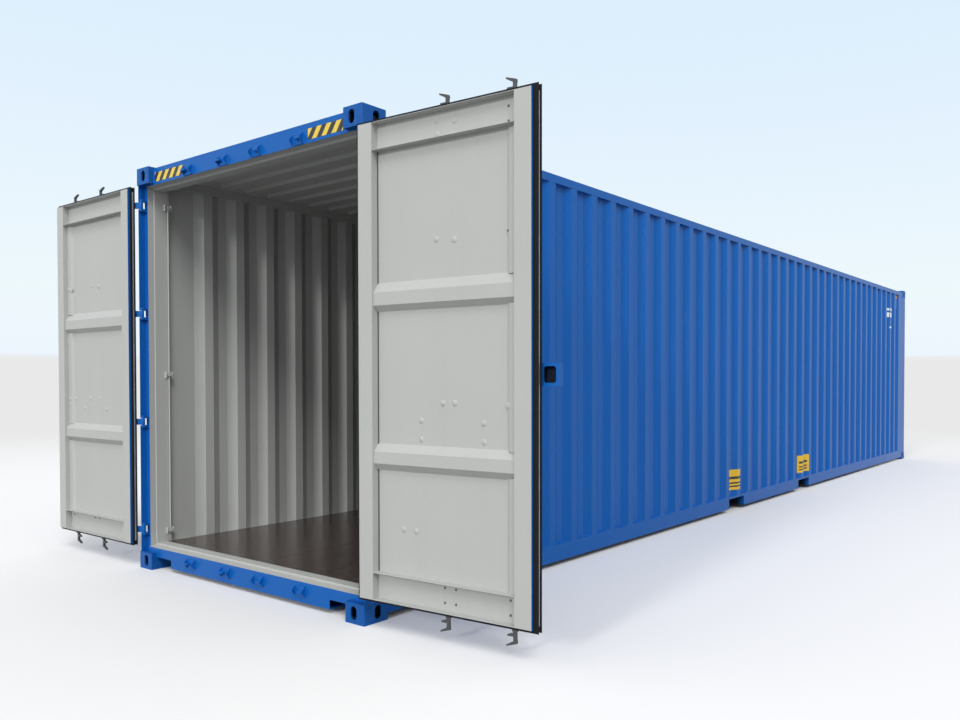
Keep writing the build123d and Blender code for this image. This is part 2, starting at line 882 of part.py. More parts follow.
def leaf_gasket(side):
    """Rubber gasket round the edges of a leaf, with lips that reach for the frame."""
    free_lip = gasket_free_lip[side]
    low_z = leaf_bottom - gasket_end_lip
    low_s = leaf_hinge_gap - gasket_hinge_lip
    high_s = leaf_free_s + free_lip
    near = leaf_inner_depth - gasket_body_start - gasket_body_depth
    far = leaf_inner_depth - gasket_body_start
    with BuildPart() as gasket:
        with BuildSketch(Plane.XY.offset(low_z)):
            with BuildLine():
                Polyline(*gasket_strip(leaf_hinge_gap, -1, gasket_hinge_lip), close=True)
            make_face()
            if free_lip > gasket_body:
                with BuildLine():
                    Polyline(*gasket_strip(leaf_free_s, 1, free_lip), close=True)
                make_face()
            else:
                with Locations((near, leaf_free_s)):
                    Rectangle(gasket_body_depth, free_lip, align=(Align.MIN, Align.MIN))
        extrude(amount=leaf_height + 2 * gasket_end_lip)
        with BuildSketch(Plane.XZ.offset(-low_s)):
            for edge, direction in ((leaf_bottom, -1), (leaf_top, 1)):
                base = edge + direction * gasket_body
                tip = edge + direction * gasket_end_lip
                with BuildLine():
                    Polyline(
                        (far, edge), (far, tip), (far - gasket_lip_thickness, tip), (near, base), (near, edge),
                        close=True,
                    )
                make_face()
        extrude(amount=low_s - high_s)
    return gasket


def hinge_blades():
    """Four hinge blades on the leaf's outer face, each with an arm to its knuckle at the pin."""
    with BuildPart() as blades:
        for hinge_z in hinge_heights:
            with BuildSketch(Plane.XY.offset(hinge_z - blade_height / 2)):
                with Locations((leaf_depth - blade_thickness, blade_start_s)):
                    Rectangle(
                        blade_thickness, blade_end_s - blade_start_s, align=(Align.MIN, Align.MIN)
                    )
                with BuildSketch(mode=Mode.PRIVATE) as arm:
                    Circle(knuckle_radius)
                    with Locations((leaf_depth - blade_thickness, blade_start_s)):
                        Rectangle(blade_thickness, knuckle_radius, align=(Align.MIN, Align.MIN))
                make_hull(arm.sketch.edges())
                Circle(pin_radius + pin_clearance, mode=Mode.SUBTRACT)
            extrude(amount=blade_height)
    return blades


def rod_brackets():
    """Bearing brackets of both lock rods: a base plate and a bored block round the rod."""
    bore = rod_radius + bracket_clearance
    with BuildPart() as brackets:
        for s in rod_s.values():
            for z in bracket_heights:
                with BuildSketch(Plane.XY.offset(z - bracket_height / 2)):
                    with Locations((rod_depth, s)):
                        Circle(bore + bracket_strap)
                        Rectangle(
                            leaf_depth - rod_depth, 2 * (bore + bracket_strap), align=(Align.MIN, Align.CENTER)
                        )
                    with Locations((leaf_depth - bracket_plate, s)):
                        Rectangle(bracket_plate, bracket_plate_width, align=(Align.MIN, Align.CENTER))
                    with Locations((rod_depth, s)):
                        Circle(bore, mode=Mode.SUBTRACT)
                extrude(amount=bracket_height)
    return brackets


def handle_catches():
    """Catches that hold the stowed handles: a base plate with a shelf below and a guard above."""
    half_gap = handle_height / 2 + catch_clearance
    with BuildPart() as catches:
        for s in rod_s.values():
            with BuildSketch(Plane.XZ.offset(-(s - catch_from_rod - catch_width / 2))):
                with Locations((leaf_depth, handle_z)):
                    Rectangle(catch_plate, catch_plate_height, align=(Align.MAX, Align.CENTER))
                for offset_z in (-half_gap - catch_wall, half_gap):
                    with Locations((leaf_depth, handle_z + offset_z)):
                        Rectangle(
                            leaf_depth - handle_depth, catch_wall, align=(Align.MAX, Align.MIN)
                        )
            extrude(amount=-catch_width)
    return catches


def cam_outline(s, z, away):
    """Outline of one cam, from inside its rod's end: neck, heel, long slanting claw and short claw."""
    half_neck = cam_neck / 2
    half_gap = tongue_thickness / 2 + claw_gap
    points = (
        (half_neck, -cam_shank),
        (half_neck, 0),
        (cam_heel, half_gap),
        (cam_heel, cam_heel_end),
        (-claw_reach, claw_fall + claw_tip),
        (-claw_reach, claw_fall),
        (-half_neck, half_gap),
        (-half_neck, -half_gap),
        (-short_claw_reach, -half_gap),
        (-short_claw_reach, -half_gap - short_claw_tip),
        (-half_neck, -half_gap - short_claw_root),
        (-half_neck, -cam_shank),
    )
    return [(s + along, z + away * outward) for along, outward in points]


def lock_rod(which):
    """A lock rod with its top and bottom cams, whose claws point towards the hinge when stowed."""
    s = rod_s[which]
    with BuildPart() as rod:
        with BuildSketch(Plane.XY.offset(rod_bottom)):
            with Locations((rod_depth, s)):
                Circle(rod_radius)
        extrude(amount=rod_top - rod_bottom)
        with BuildSketch(Plane.YZ.offset(rod_depth - cam_thickness / 2)):
            for z, away in ((keeper_z["bottom"], -1), (keeper_z["top"], 1)):
                with BuildLine():
                    Polyline(*cam_outline(s, z, away), close=True)
                make_face()
        extrude(amount=cam_thickness)
    return rod


def lock_handle(which):
    """A flat bar handle on a hub clamped round its rod, stowed towards the hinge."""
    s = rod_s[which]
    with BuildPart() as handle:
        with BuildSketch(Plane.XY.offset(handle_z - hub_height / 2)):
            with Locations((rod_depth, s)):
                Circle(hub_radius)
        extrude(amount=hub_height)
        with BuildSketch(Plane.YZ.offset(handle_depth)):
            with Locations((s, handle_z)):
                Rectangle(handle_length, handle_height, align=(Align.MAX, Align.CENTER))
        extrude(amount=handle_thickness)
        with BuildSketch(Plane.XY.offset(handle_z - hub_height / 2)):
            with Locations((rod_depth, s)):
                Circle(rod_radius + hub_clearance)
        extrude(amount=hub_height, mode=Mode.SUBTRACT)
    return handle


def lock_box():
    """Lock box beyond the right leaf's free edge, open towards the inside, on a flange plate."""
    with BuildPart() as box:
        with BuildSketch(Plane.YZ.offset(lock_box_back)):
            with Locations((lock_box_start_s, lock_box_bottom)):
                Rectangle(lock_box_width, lock_box_height, align=(Align.MIN, Align.MIN))
        extrude(amount=-lock_box_depth)
        with BuildSketch(Plane.YZ.offset(lock_box_back)):
            with Locations((lock_box_start_s + lock_box_wall, lock_box_bottom + lock_box_wall)):
                Rectangle(
                    lock_box_width - 2 * lock_box_wall,
                    lock_box_height - 2 * lock_box_wall,
                    align=(Align.MIN, Align.MIN),
                )
        extrude(amount=lock_box_wall - lock_box_depth, mode=Mode.SUBTRACT)
        with BuildSketch(Plane.YZ.offset(lock_box_back)):
            with Locations((lock_flange_s, lock_box_bottom)):
                Rectangle(
                    lock_box_start_s + lock_box_wall - lock_flange_s,
                    lock_box_height,
                    align=(Align.MIN, Align.MIN),
                )
        extrude(amount=leaf_depth - lock_box_back)
    return box


def lock_staple():
    """Padlock staple on the left leaf that stands inside the lock box when the doors are shut."""
    with BuildPart() as staple:
        with BuildSketch(Plane.XZ.offset(-staple_s + staple_thickness / 2)):
            with Locations((leaf_depth, lock_box_bottom + lock_box_height / 2)):
                Rectangle(staple_reach, staple_height, align=(Align.MAX, Align.CENTER))
            with Locations((leaf_depth - staple_reach / 2, lock_box_bottom + lock_box_height / 2)):
                Circle(staple_hole_radius, mode=Mode.SUBTRACT)
        extrude(amount=-staple_thickness)
    return staple


def mirrored(piece):
    """The same piece on the other side of the container."""
    with BuildPart() as other:
        add(mirror(piece.part, about=Plane.XZ))
    return other


# Corner castings and frame
finish(casting_set(0, 1), "corner_castings_bottom")
finish(casting_set(height, -1), "corner_castings_top")
left_post = rear_post()
finish(left_post, "rear_post_left")
finish(mirrored(left_post), "rear_post_right")
finish(front_posts(), "front_posts")
finish(door_header(), "door_header")
finish(door_sill(), "door_sill")
finish(cam_keepers(), "cam_keepers")
finish(hinge_lugs(), "hinge_lugs")
finish(top_side_rails(), "top_side_rails")
finish(bottom_side_rails(), "bottom_side_rails")
finish(front_top_rail(), "front_top_rail")
finish(front_sill(), "front_sill")

# Walls and roof
left_wall = side_wall()
finish(left_wall, "side_wall_left")
finish(mirrored(left_wall), "side_wall_right")
finish(front_wall(), "front_wall")
finish(roof_panel(), "roof_panel")
finish(roof_header_plates(), "roof_header_plates")
finish(ventilators(), "ventilators")

# Base
finish(floor_boards(), "floor_boards")
finish(cross_members(), "cross_members")
finish(tunnel_outriggers(), "tunnel_outriggers")
finish(gooseneck_tunnel(), "gooseneck_tunnel")
finish(fork_pockets(), "fork_pockets")
finish(lashing_bars(), "lashing_bars")

# Doors, hung at their rest angles
for side in sides:
    finish(hang(leaf_frame(), side), f"{side}_door_frame")
    finish(hang(leaf_panel(), side), f"{side}_door_panel")
    finish(hang(leaf_gasket(side), side), f"{side}_door_gasket")
    finish(hang(hinge_blades(), side), f"{side}_hinge_blades")
    finish(hang(rod_brackets(), side), f"{side}_rod_brackets")
    finish(hang(handle_catches(), side), f"{side}_handle_catches")
    for which in rod_s:
        finish(hang(lock_rod(which), side), f"{side}_{which}_lock_rod")
        finish(hang(lock_handle(which), side), f"{side}_{which}_lock_handle")
finish(hang(lock_box(), "right"), "lock_box")
finish(hang(lock_staple(), "left"), "lock_staple")
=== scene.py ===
"""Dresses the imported 40 ft high-cube container: finishes, fine hardware, markings, lights and camera."""

import json
import logging
import math
from collections.abc import Callable, Sequence
from dataclasses import dataclass, field
from enum import Enum

import bmesh
import bpy
import numpy as np
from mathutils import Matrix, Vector


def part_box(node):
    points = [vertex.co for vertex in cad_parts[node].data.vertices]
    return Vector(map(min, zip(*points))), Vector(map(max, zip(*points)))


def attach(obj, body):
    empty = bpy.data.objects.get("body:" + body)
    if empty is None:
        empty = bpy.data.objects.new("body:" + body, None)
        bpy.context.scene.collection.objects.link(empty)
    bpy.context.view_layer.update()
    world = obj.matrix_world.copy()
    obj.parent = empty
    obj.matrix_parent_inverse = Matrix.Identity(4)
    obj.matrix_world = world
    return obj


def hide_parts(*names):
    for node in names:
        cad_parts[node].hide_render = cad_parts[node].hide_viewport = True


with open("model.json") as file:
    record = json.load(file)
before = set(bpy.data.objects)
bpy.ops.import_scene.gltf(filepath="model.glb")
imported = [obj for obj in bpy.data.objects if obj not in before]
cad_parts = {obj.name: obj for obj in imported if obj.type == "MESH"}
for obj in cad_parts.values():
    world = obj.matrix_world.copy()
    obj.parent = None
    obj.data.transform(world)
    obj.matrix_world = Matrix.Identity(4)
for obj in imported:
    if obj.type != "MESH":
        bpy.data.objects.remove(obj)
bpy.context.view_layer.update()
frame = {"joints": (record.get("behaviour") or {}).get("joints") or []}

log = logging.getLogger("container")
Colour = tuple[float, float, float]
Marks = tuple[tuple[float, float], ...]
ALONG_X = np.array((1.0, 0.0, 0.0))
ALONG_Y = np.array((0.0, 1.0, 0.0))
UP = np.array((0.0, 0.0, 1.0))
SMOOTH_BELOW = math.radians(35)
BEVEL_ABOVE = math.radians(40)
BEVEL_STEPS = 2
WELD_REACH = 0.00001


class Side(Enum):
    """The two long sides, as the sign of Y."""

    RIGHT = -1
    LEFT = 1

    @property
    def word(self) -> str:
        """The side's name as the CAD nodes spell it."""
        return self.name.lower()


class Val:
    """A shader socket that takes part in Python expressions; each operator adds one Math node."""

    def __init__(self, tree: "Tree", socket: bpy.types.NodeSocket) -> None:
        """Wraps a socket of a tree."""
        self.tree = tree
        self.socket = socket

    def _math(self, operation: str, *others: "Val | float") -> "Val":
        """Adds a Math node.

        Args:
            operation: The Math node's operation.
            others: The remaining inputs, as sockets or numbers.

        Returns:
            The node's output.
        """
        inputs = dict(enumerate((self, *others)))
        return self.tree.node("ShaderNodeMath", {"operation": operation}, inputs)

    def __add__(self, other: "Val | float") -> "Val":
        """Sum."""
        return self._math("ADD", other)

    __radd__ = __add__

    def __mul__(self, other: "Val | float") -> "Val":
        """Product."""
        return self._math("MULTIPLY", other)

    __rmul__ = __mul__

    def __sub__(self, other: "Val | float") -> "Val":
        """Difference."""
        return self._math("SUBTRACT", other)

    def __rsub__(self, other: float) -> "Val":
        """Difference with a number in front."""
        return self._math("MULTIPLY", -1.0) + other

    def __abs__(self) -> "Val":
        """Absolute value."""
        return self._math("ABSOLUTE")

    def __mod__(self, other: float) -> "Val":
        """Floored remainder."""
        return self._math("FLOORED_MODULO", other)

    def __and__(self, other: "Val") -> "Val":
        """Mask that is 1 where both masks are."""
        return self._math("MINIMUM", other)

    def __or__(self, other: "Val") -> "Val":
        """Mask that is 1 where either mask is."""
        return self._math("MAXIMUM", other)

    def above(self, level: float) -> "Val":
        """Hard mask that is 1 above a level."""
        return self._math("GREATER_THAN", level)

    def below(self, level: float) -> "Val":
        """Hard mask that is 1 below a level."""
        return self._math("LESS_THAN", level)

    def ramp(self, low: float, high: float) -> "Val":
        """Smooth step from 0 at low to 1 at high; low may be the larger."""
        inputs = {"Value": self, "From Min": low, "From Max": high}
        return self.tree.node("ShaderNodeMapRange", {"interpolation_type": "SMOOTHSTEP"}, inputs)

    def power(self, exponent: float) -> "Val":
        """The value raised to a fixed exponent."""
        return self._math("POWER", exponent)


class Tree:
    """A material's or world's node tree, with the few operations that the finishes are written in."""

    def __init__(self, name: str, world: bpy.types.World | None = None) -> None:
        """Makes an empty material with a node tree, or empties a world's."""
        self.material = world or bpy.data.materials.new(name)
        self.material.use_nodes = True
        self.nodes = self.material.node_tree.nodes
        self.nodes.clear()

    def node(self, kind: str, settings: dict | None = None, inputs: dict | None = None,
             output: int | str = 0) -> Val:
        """Adds any node.

        Args:
            kind: The node's type.
            settings: Properties that are set before the inputs.
            inputs: Values or sockets by input name or number.
            output: The output that is returned.

        Returns:
            The chosen output.
        """
        made = self.nodes.new(kind)
        for key, value in (settings or {}).items():
            setattr(made, key, value)
        for key, value in (inputs or {}).items():
            self.feed(made.inputs[key], value)
        return Val(self, made.outputs[output])

    def feed(self, socket: bpy.types.NodeSocket, value: "Val | float | Sequence[float]") -> None:
        """Links a socket or sets its constant."""
        if isinstance(value, Val):
            self.material.node_tree.links.new(value.socket, socket)
        elif isinstance(value, (tuple, list)) and socket.type == "RGBA":
            socket.default_value = (*value[:3], 1.0)
        else:
            socket.default_value = value

    def coordinates(self) -> Val:
        """Object coordinates, which are the container's own frame."""
        return self.node("ShaderNodeTexCoord", output="Object")

    def place(self) -> tuple[Val, Val, Val]:
        """X, Y and Z of the point in the container's own frame."""
        return self.split(self.coordinates())

    def facing(self) -> tuple[Val, Val, Val]:
        """The surface normal in the piece's own frame, as three values."""
        return self.split(self.node("ShaderNodeTexCoord", output="Normal"))

    def split(self, vector: Val) -> tuple[Val, Val, Val]:
        """The three parts of a vector."""
        first = self.node("ShaderNodeSeparateXYZ", inputs={0: vector})
        outputs = first.socket.node.outputs
        return first, Val(self, outputs[1]), Val(self, outputs[2])

    def mix(self, mask: Val | float, first: Val | Colour, second: Val | Colour) -> Val:
        """Colour that goes from first to second as the mask goes from 0 to 1."""
        settings = {"data_type": "RGBA", "clamp_factor": True}
        return self.node("ShaderNodeMix", settings, {0: mask, 6: first, 7: second}, output=2)

    def ramp(self, value: Val, stops: Sequence[tuple[float, Colour]]) -> Val:
        """Colour that runs through stops of position and colour."""
        made = self.nodes.new("ShaderNodeValToRGB")
        elements = made.color_ramp.elements
        while len(elements) < len(stops):
            elements.new(0.5)
        for element, (position, colour) in zip(elements, stops):
            element.position = position
            element.color = (*colour, 1.0)
        self.feed(made.inputs["Fac"], value)
        return Val(self, made.outputs["Color"])

    def shade(self, colour: Val | Colour, amount: Val) -> Val:
        """A colour multiplied by a value."""
        grey = self.node("ShaderNodeCombineXYZ", inputs={0: amount, 1: amount, 2: amount})
        settings = {"operation": "MULTIPLY"}
        return self.node("ShaderNodeVectorMath", settings, {0: colour, 1: grey})

    def bump(self, height: Val, distance: float) -> Val:
        """A normal bent by a height that is given in units of distance, in metres."""
        inputs = {"Distance": distance, "Height": height}
        return self.node("ShaderNodeBump", inputs=inputs, output="Normal")

    def finish(self, **inputs: "Val | float | Colour") -> bpy.types.Material:
        """Ends the tree in a Principled shader.

        Args:
            inputs: The shader's inputs, with underscores for the blanks in their names.

        Returns:
            The material.
        """
        named = {key.replace("_", " "): value for key, value in inputs.items()}
        self.node_output(self.node("ShaderNodeBsdfPrincipled", inputs=named))
        return self.material

    def node_output(self, shader: Val) -> None:
        """Links a shader to the material's or world's output."""
        is_world = isinstance(self.material, bpy.types.World)
        made = self.nodes.new("ShaderNodeOutputWorld" if is_world else "ShaderNodeOutputMaterial")
        self.material.node_tree.links.new(shader.socket, made.inputs["Surface"])


@dataclass(frozen=True)
class Cloud:
    """A noise pattern on the container's own coordinates, with features of about one over its scale."""

    scale: float
    detail: float
    rough: float = 0.5
    stretch: tuple[float, float, float] = (1.0, 1.0, 1.0)

    def on(self, tree: Tree) -> Val:
        """The pattern's value, between 0 and 1 and about 0.5."""
        place = tree.node("ShaderNodeVectorMath", {"operation": "MULTIPLY"},
                          {0: tree.coordinates(), 1: self.stretch})
        inputs = {"Vector": place, "Scale": self.scale, "Detail": self.detail, "Roughness": self.rough}
        return tree.node("ShaderNodeTexNoise", inputs=inputs)


@dataclass(frozen=True)
class Look:
    """What a finish says at one point: colour, roughness and relief height in units of its distance."""

    colour: Val
    roughness: Val
    height: Val


@dataclass(frozen=True)
class Paint:
    """Sprayed enamel on pressed steel: a tint with soft mottling, fine peel and a trace of dust."""

    tint: Colour
    dust: Colour
    roughness: float = 0.36
    mottle: float = 0.07
    dusting: float = 0.10
    broad: Cloud = Cloud(1.7, 4.0)
    fine: Cloud = Cloud(38.0, 4.0, 0.65)
    runs: Cloud = Cloud(1.0, 5.0, 0.6, (9.0, 9.0, 0.8))
    peel: Cloud = Cloud(260.0, 2.0)
    dents: Cloud = Cloud(2.6, 2.0)
    dust_limits: tuple[float, float] = (0.24, 0.52)
    dust_dulling: float = 0.6
    gloss_change: float = 0.10
    peel_height: float = 0.10
    dent_height: float = 3.2

    def look(self, tree: Tree) -> Look:
        """The paint's look.

        Args:
            tree: The tree that it is written into.

        Returns:
            Mottled and dusted colour, a roughness that goes with it, and relief of peel over slow dents.
        """
        broad, fine = self.broad.on(tree), self.fine.on(tree)
        amount = 1.0 - self.mottle + self.mottle * (broad + fine)
        dusty = (self.runs.on(tree) * fine).ramp(*self.dust_limits) * self.dusting
        colour = tree.mix(dusty, tree.shade(self.tint, amount), self.dust)
        uneven = (broad - 0.5) * self.gloss_change + (fine - 0.5) * self.gloss_change
        roughness = uneven + dusty * self.dust_dulling + self.roughness
        relief = self.peel.on(tree) * self.peel_height + self.dents.on(tree) * self.dent_height
        return Look(colour, roughness, relief)


MaskRule = Callable[[Tree], Val]


@dataclass(frozen=True)
class PaintedSteel:
    """Painted steel in one paint, or in two where a rule says so."""

    name: str
    outer: Paint
    inner: Paint | None = None
    rule: MaskRule | None = None
    relief: float = 0.0006
    sheen_level: float = 0.16
    coat: float = 0.02
    coat_roughness: float = 0.2

    def material(self) -> bpy.types.Material:
        """The paint's material."""
        tree = Tree(self.name)
        look = self.outer.look(tree)
        if self.inner and self.rule:
            other = self.inner.look(tree)
            mask = self.rule(tree)
            roughness = look.roughness * (1.0 - mask) + other.roughness * mask
            look = Look(tree.mix(mask, look.colour, other.colour), roughness, look.height)
        return tree.finish(Base_Color=look.colour, Roughness=look.roughness,
                           Normal=tree.bump(look.height, self.relief), Specular_IOR_Level=self.sheen_level,
                           Coat_Weight=self.coat, Coat_Roughness=self.coat_roughness)


@dataclass(frozen=True)
class BareSteel:
    """Galvanised steel with a faint spangle, brushed lines along Z and dull patches."""

    name: str
    tint: Colour
    roughness: float = 0.38
    metallic: float = 0.75
    spangle_scale: float = 70.0
    spangle_tone: float = 0.10
    dull: Cloud = Cloud(14.0, 5.0, 0.6)
    dull_tone: float = 0.22
    darkest: float = 0.80
    dull_gloss: float = 0.22
    brushing: Cloud = Cloud(1.0, 2.0, stretch=(600.0, 600.0, 9.0))
    brushing_gloss: float = 0.06
    brushing_height: float = 0.2
    relief: float = 0.0004

    def material(self) -> bpy.types.Material:
        """The metal's material."""
        tree = Tree(self.name)
        cells = {"Vector": tree.coordinates(), "Scale": self.spangle_scale}
        tone, _, _ = tree.split(tree.node("ShaderNodeTexVoronoi", {}, cells, output="Color"))
        dull, lines = self.dull.on(tree), self.brushing.on(tree)
        colour = tree.shade(self.tint, tone * self.spangle_tone + dull * self.dull_tone + self.darkest)
        smoothest = self.roughness - (self.dull_gloss + self.brushing_gloss) / 2
        roughness = dull * self.dull_gloss + lines * self.brushing_gloss + smoothest
        return tree.finish(Base_Color=colour, Roughness=roughness, Metallic=self.metallic,
                           Normal=tree.bump(dull + lines * self.brushing_height, self.relief))


@dataclass(frozen=True)
class Rubber:
    """Extruded door rubber, nearly black, with a dusty bloom and a fine grain."""

    name: str
    tint: Colour
    roughness: float = 0.60
    sheen_level: float = 0.15
    bloom: Cloud = Cloud(9.0, 5.0, 0.6)
    bloom_tone: float = 0.9
    darkest: float = 0.6
    bloom_gloss: float = 0.16
    grain: Cloud = Cloud(420.0, 2.0)
    relief: float = 0.0002

    def material(self) -> bpy.types.Material:
        """The rubber's material."""
        tree = Tree(self.name)
        bloom = self.bloom.on(tree)
        colour = tree.shade(self.tint, bloom * self.bloom_tone + self.darkest)
        return tree.finish(Base_Color=colour, Roughness=bloom * self.bloom_gloss + self.roughness,
                           Normal=tree.bump(self.grain.on(tree), self.relief),
                           Specular_IOR_Level=self.sheen_level)


@dataclass(frozen=True)
class FilmedPlywood:
    """Dark varnished plywood: long grain, broad darker and paler streaks, and small scuffs."""

    name: str
    tint: Colour
    warm: Colour
    roughness: float = 0.20
    coat: float = 0.15
    coat_roughness: float = 0.20
    grain: Cloud = Cloud(1.0, 6.0, 0.6, (1.6, 42.0, 42.0))
    grain_limits: tuple[float, float] = (0.35, 0.65)
    streaks: Cloud = Cloud(1.0, 3.0, stretch=(0.5, 5.0, 5.0))
    scuffs: Cloud = Cloud(1.0, 8.0, 0.75, (3.0, 30.0, 30.0))
    scuff_limits: tuple[float, float] = (0.58, 0.72)
    streak_tone: float = 0.7
    scuff_tone: float = 0.25
    darkest: float = 0.65
    grain_gloss: float = 0.10
    scuff_gloss: float = 0.20
    grain_height: float = 0.5
    relief: float = 0.0005

    def material(self) -> bpy.types.Material:
        """The floor's material."""
        tree = Tree(self.name)
        grain, streak = self.grain.on(tree), self.streaks.on(tree)
        scuff = self.scuffs.on(tree).ramp(*self.scuff_limits)
        base = tree.mix(grain.ramp(*self.grain_limits), self.tint, self.warm)
        colour = tree.shade(base, streak * self.streak_tone + self.darkest + scuff * self.scuff_tone)
        roughness = grain * self.grain_gloss + scuff * self.scuff_gloss + self.roughness
        return tree.finish(Base_Color=colour, Roughness=roughness, Coat_Weight=self.coat,
                           Coat_Roughness=self.coat_roughness,
                           Normal=tree.bump(grain * self.grain_height + streak, self.relief))


@dataclass(frozen=True)
class SlantedStripes:
    """Hazard tape: slanting stripes of two colours, worked out from the Y and Z of each point."""

    name: str
    light: Colour
    dark: Colour
    pitch: float = 0.088
    lean: float = 0.75
    dark_from: tuple[float, float] = (0.48, 0.50)
    dark_until: tuple[float, float] = (1.0, 0.985)
    wear: Cloud = Cloud(60.0, 4.0)
    wear_tone: float = 0.3
    darkest: float = 0.85
    wear_gloss: float = 0.1
    roughness: float = 0.35

    def material(self) -> bpy.types.Material:
        """The tape's material."""
        tree = Tree(self.name)
        _, across, up = tree.place()
        wave = (across + up * self.lean) % self.pitch
        starts, ends = (wave.ramp(*(self.pitch * share for share in shares))
                        for shares in (self.dark_from, self.dark_until))
        wear = self.wear.on(tree)
        colour = tree.shade(tree.mix(starts & ends, self.light, self.dark),
                            wear * self.wear_tone + self.darkest)
        return tree.finish(Base_Color=colour, Roughness=wear * self.wear_gloss + self.roughness)


@dataclass(frozen=True)
class PlainCoat:
    """A plain coat for small markings and mouldings, with slight tone and gloss changes."""

    name: str
    tint: Colour
    roughness: float = 0.45
    speckle: float = 0.2
    gloss_change: float = 0.2
    cloud: Cloud = Cloud(24.0, 5.0, 0.6)
    relief: float = 0.0002

    def material(self) -> bpy.types.Material:
        """The coat's material."""
        tree = Tree(self.name)
        cloud = self.cloud.on(tree)
        colour = tree.shade(self.tint, cloud * self.speckle + (1.0 - self.speckle / 2))
        roughness = cloud * self.gloss_change + (self.roughness - self.gloss_change / 2)
        return tree.finish(Base_Color=colour, Roughness=roughness, Normal=tree.bump(cloud, self.relief))


LIGHT_BLUE_DUST: Colour = (0.30, 0.42, 0.55)
BLUE = Paint(tint=(0.004, 0.108, 0.420), dust=LIGHT_BLUE_DUST, roughness=0.32, dusting=0.05)
GREY = Paint(tint=(0.455, 0.465, 0.450), dust=(0.30, 0.28, 0.25),
             roughness=0.50, mottle=0.06, dusting=0.16)
CAST_BLUE = Paint(tint=(0.005, 0.090, 0.350), dust=LIGHT_BLUE_DUST,
                  roughness=0.42, mottle=0.10, peel=Cloud(110.0, 2.0))
# Painted shade: near-black paint in the castings' hollows, deep in the fork pockets and inside the lock box,
# standing in for the shade there.
PAINTED_HOLLOW_SHADE = Paint(tint=(0.006, 0.012, 0.026), dust=(0.02, 0.02, 0.02), roughness=0.7, mottle=0.2)
UNDERCOAT = Paint(tint=(0.035, 0.034, 0.033), dust=(0.16, 0.14, 0.12),
                  roughness=0.72, mottle=0.3, dusting=0.5)


def circle_about(axis: np.ndarray, sides: int) -> np.ndarray:
    """Unit vectors evenly round an axis: cos a times one normal of the axis plus sin a times the other.

    Args:
        axis: Unit vector.
        sides: How many vectors.

    Returns:
        An array of sides by 3.
    """
    first = np.cross(axis, UP if abs(axis[2]) < 0.9 else ALONG_X)
    first /= np.linalg.norm(first)
    second = np.cross(axis, first)
    angle = np.linspace(0.0, 2 * np.pi, sides, endpoint=False)
    return np.cos(angle)[:, None] * first + np.sin(angle)[:, None] * second


@dataclass
class MeshParts:
    """Gathers rings of points worked out as arrays, and turns them into one object."""

    points: list[np.ndarray] = field(default_factory=list)
    faces: list[list[int]] = field(default_factory=list)
    count: int = 0

    def tube(self, rings: np.ndarray, capped: bool = False) -> None:
        """Adds a surface given as closed rings of points, each joined to the next.

        Args:
            rings: An array of n rings by k points by 3.
            capped: Whether the first and last rings are filled.
        """
        n, k = rings.shape[:2]
        index = np.arange(n * k).reshape(n, k) + self.count
        after = np.roll(index, -1, axis=1)
        quads = np.stack([index[:-1], after[:-1], after[1:], index[1:]], axis=-1).reshape(-1, 4)
        self.faces += quads.tolist()
        if capped:
            self.faces.append(index[0, ::-1].tolist())
            self.faces.append(index[-1].tolist())
        self.points.append(rings.reshape(-1, 3))
        self.count += n * k

    def sweep(self, section: np.ndarray, path: np.ndarray, across: np.ndarray, up: np.ndarray) -> None:
        """Carries a closed section along a path without turning it.

        Each point is path + first section value times across + second section value times up.

        Args:
            section: k by 2, in metres.
            path: n by 3, in metres.
            across: Direction of the section's first value.
            up: Direction of the section's second value.
        """
        offsets = section[:, :1] * across + section[:, 1:] * up
        self.tube(path[:, None, :] + offsets[None, :, :], capped=True)

    def along_x(self, section: np.ndarray, low: float, high: float) -> None:
        """Carries a closed section of y and z values straight from one x to another."""
        self.sweep(section, np.outer((low, high), ALONG_X), ALONG_Y, UP)

    def turned(self, profile: Marks, places: np.ndarray, axis: np.ndarray, sides: int) -> None:
        """Turns a profile about an axis at each of many places.

        Each point is place + radius times (cos a, sin a) in the plane across the axis + height times axis.

        Args:
            profile: Radius and height pairs from the base to the top, in metres.
            places: n by 3 base centres.
            axis: Unit vector that the profile's height runs along.
            sides: Points round the axis.
        """
        radius, height = np.array(profile, float).T
        one = radius[:, None, None] * circle_about(axis, sides)[None] + height[:, None, None] * axis
        for place in places:
            self.tube(one + place, capped=True)

    def slab(self, low: Sequence[float], high: Sequence[float]) -> None:
        """Adds a closed block between two corners, as a section carried along X."""
        (x0, y0, z0), (x1, y1, z1) = low, high
        self.along_x(np.array([(y0, z0), (y1, z0), (y1, z1), (y0, z1)]), x0, x1)

    def build(self, name: str, material: bpy.types.Material, body: str, slot: str, smooth: bool = False,
              bevel: float = 0.0) -> bpy.types.Object:
        """Makes the object.

        Args:
            name: The piece's name.
            material: Its finish.
            body: The body that it rides on.
            slot: The record's material slot; not used.
            smooth: Whether its faces are shaded smooth where they meet at less than SMOOTH_BELOW.
            bevel: Width of a bevel on its sharp edges, in metres.

        Returns:
            The finished piece.
        """
        mesh = bpy.data.meshes.new(name)
        mesh.from_pydata(np.concatenate(self.points).tolist(), [], self.faces)
        mesh.validate()
        piece = bpy.data.objects.new(name, mesh)
        bpy.context.scene.collection.objects.link(piece)
        recalculate_outward(mesh)
        mesh.materials.append(material)
        if bevel:
            add_bevel(piece, bevel)
        if smooth:
            mesh.polygons.foreach_set("use_smooth", [True] * len(mesh.polygons))
            mesh.set_sharp_from_angle(angle=SMOOTH_BELOW)
        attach(piece, body)
        log.info("%s: %d faces on %s", name, len(mesh.polygons), body)
        return piece


def recalculate_outward(mesh: bpy.types.Mesh) -> None:
    """Turns a closed mesh's faces outwards."""
    editable = bmesh.new()
    editable.from_mesh(mesh)
    bmesh.ops.recalc_face_normals(editable, faces=editable.faces)
    editable.to_mesh(mesh)
    editable.free()


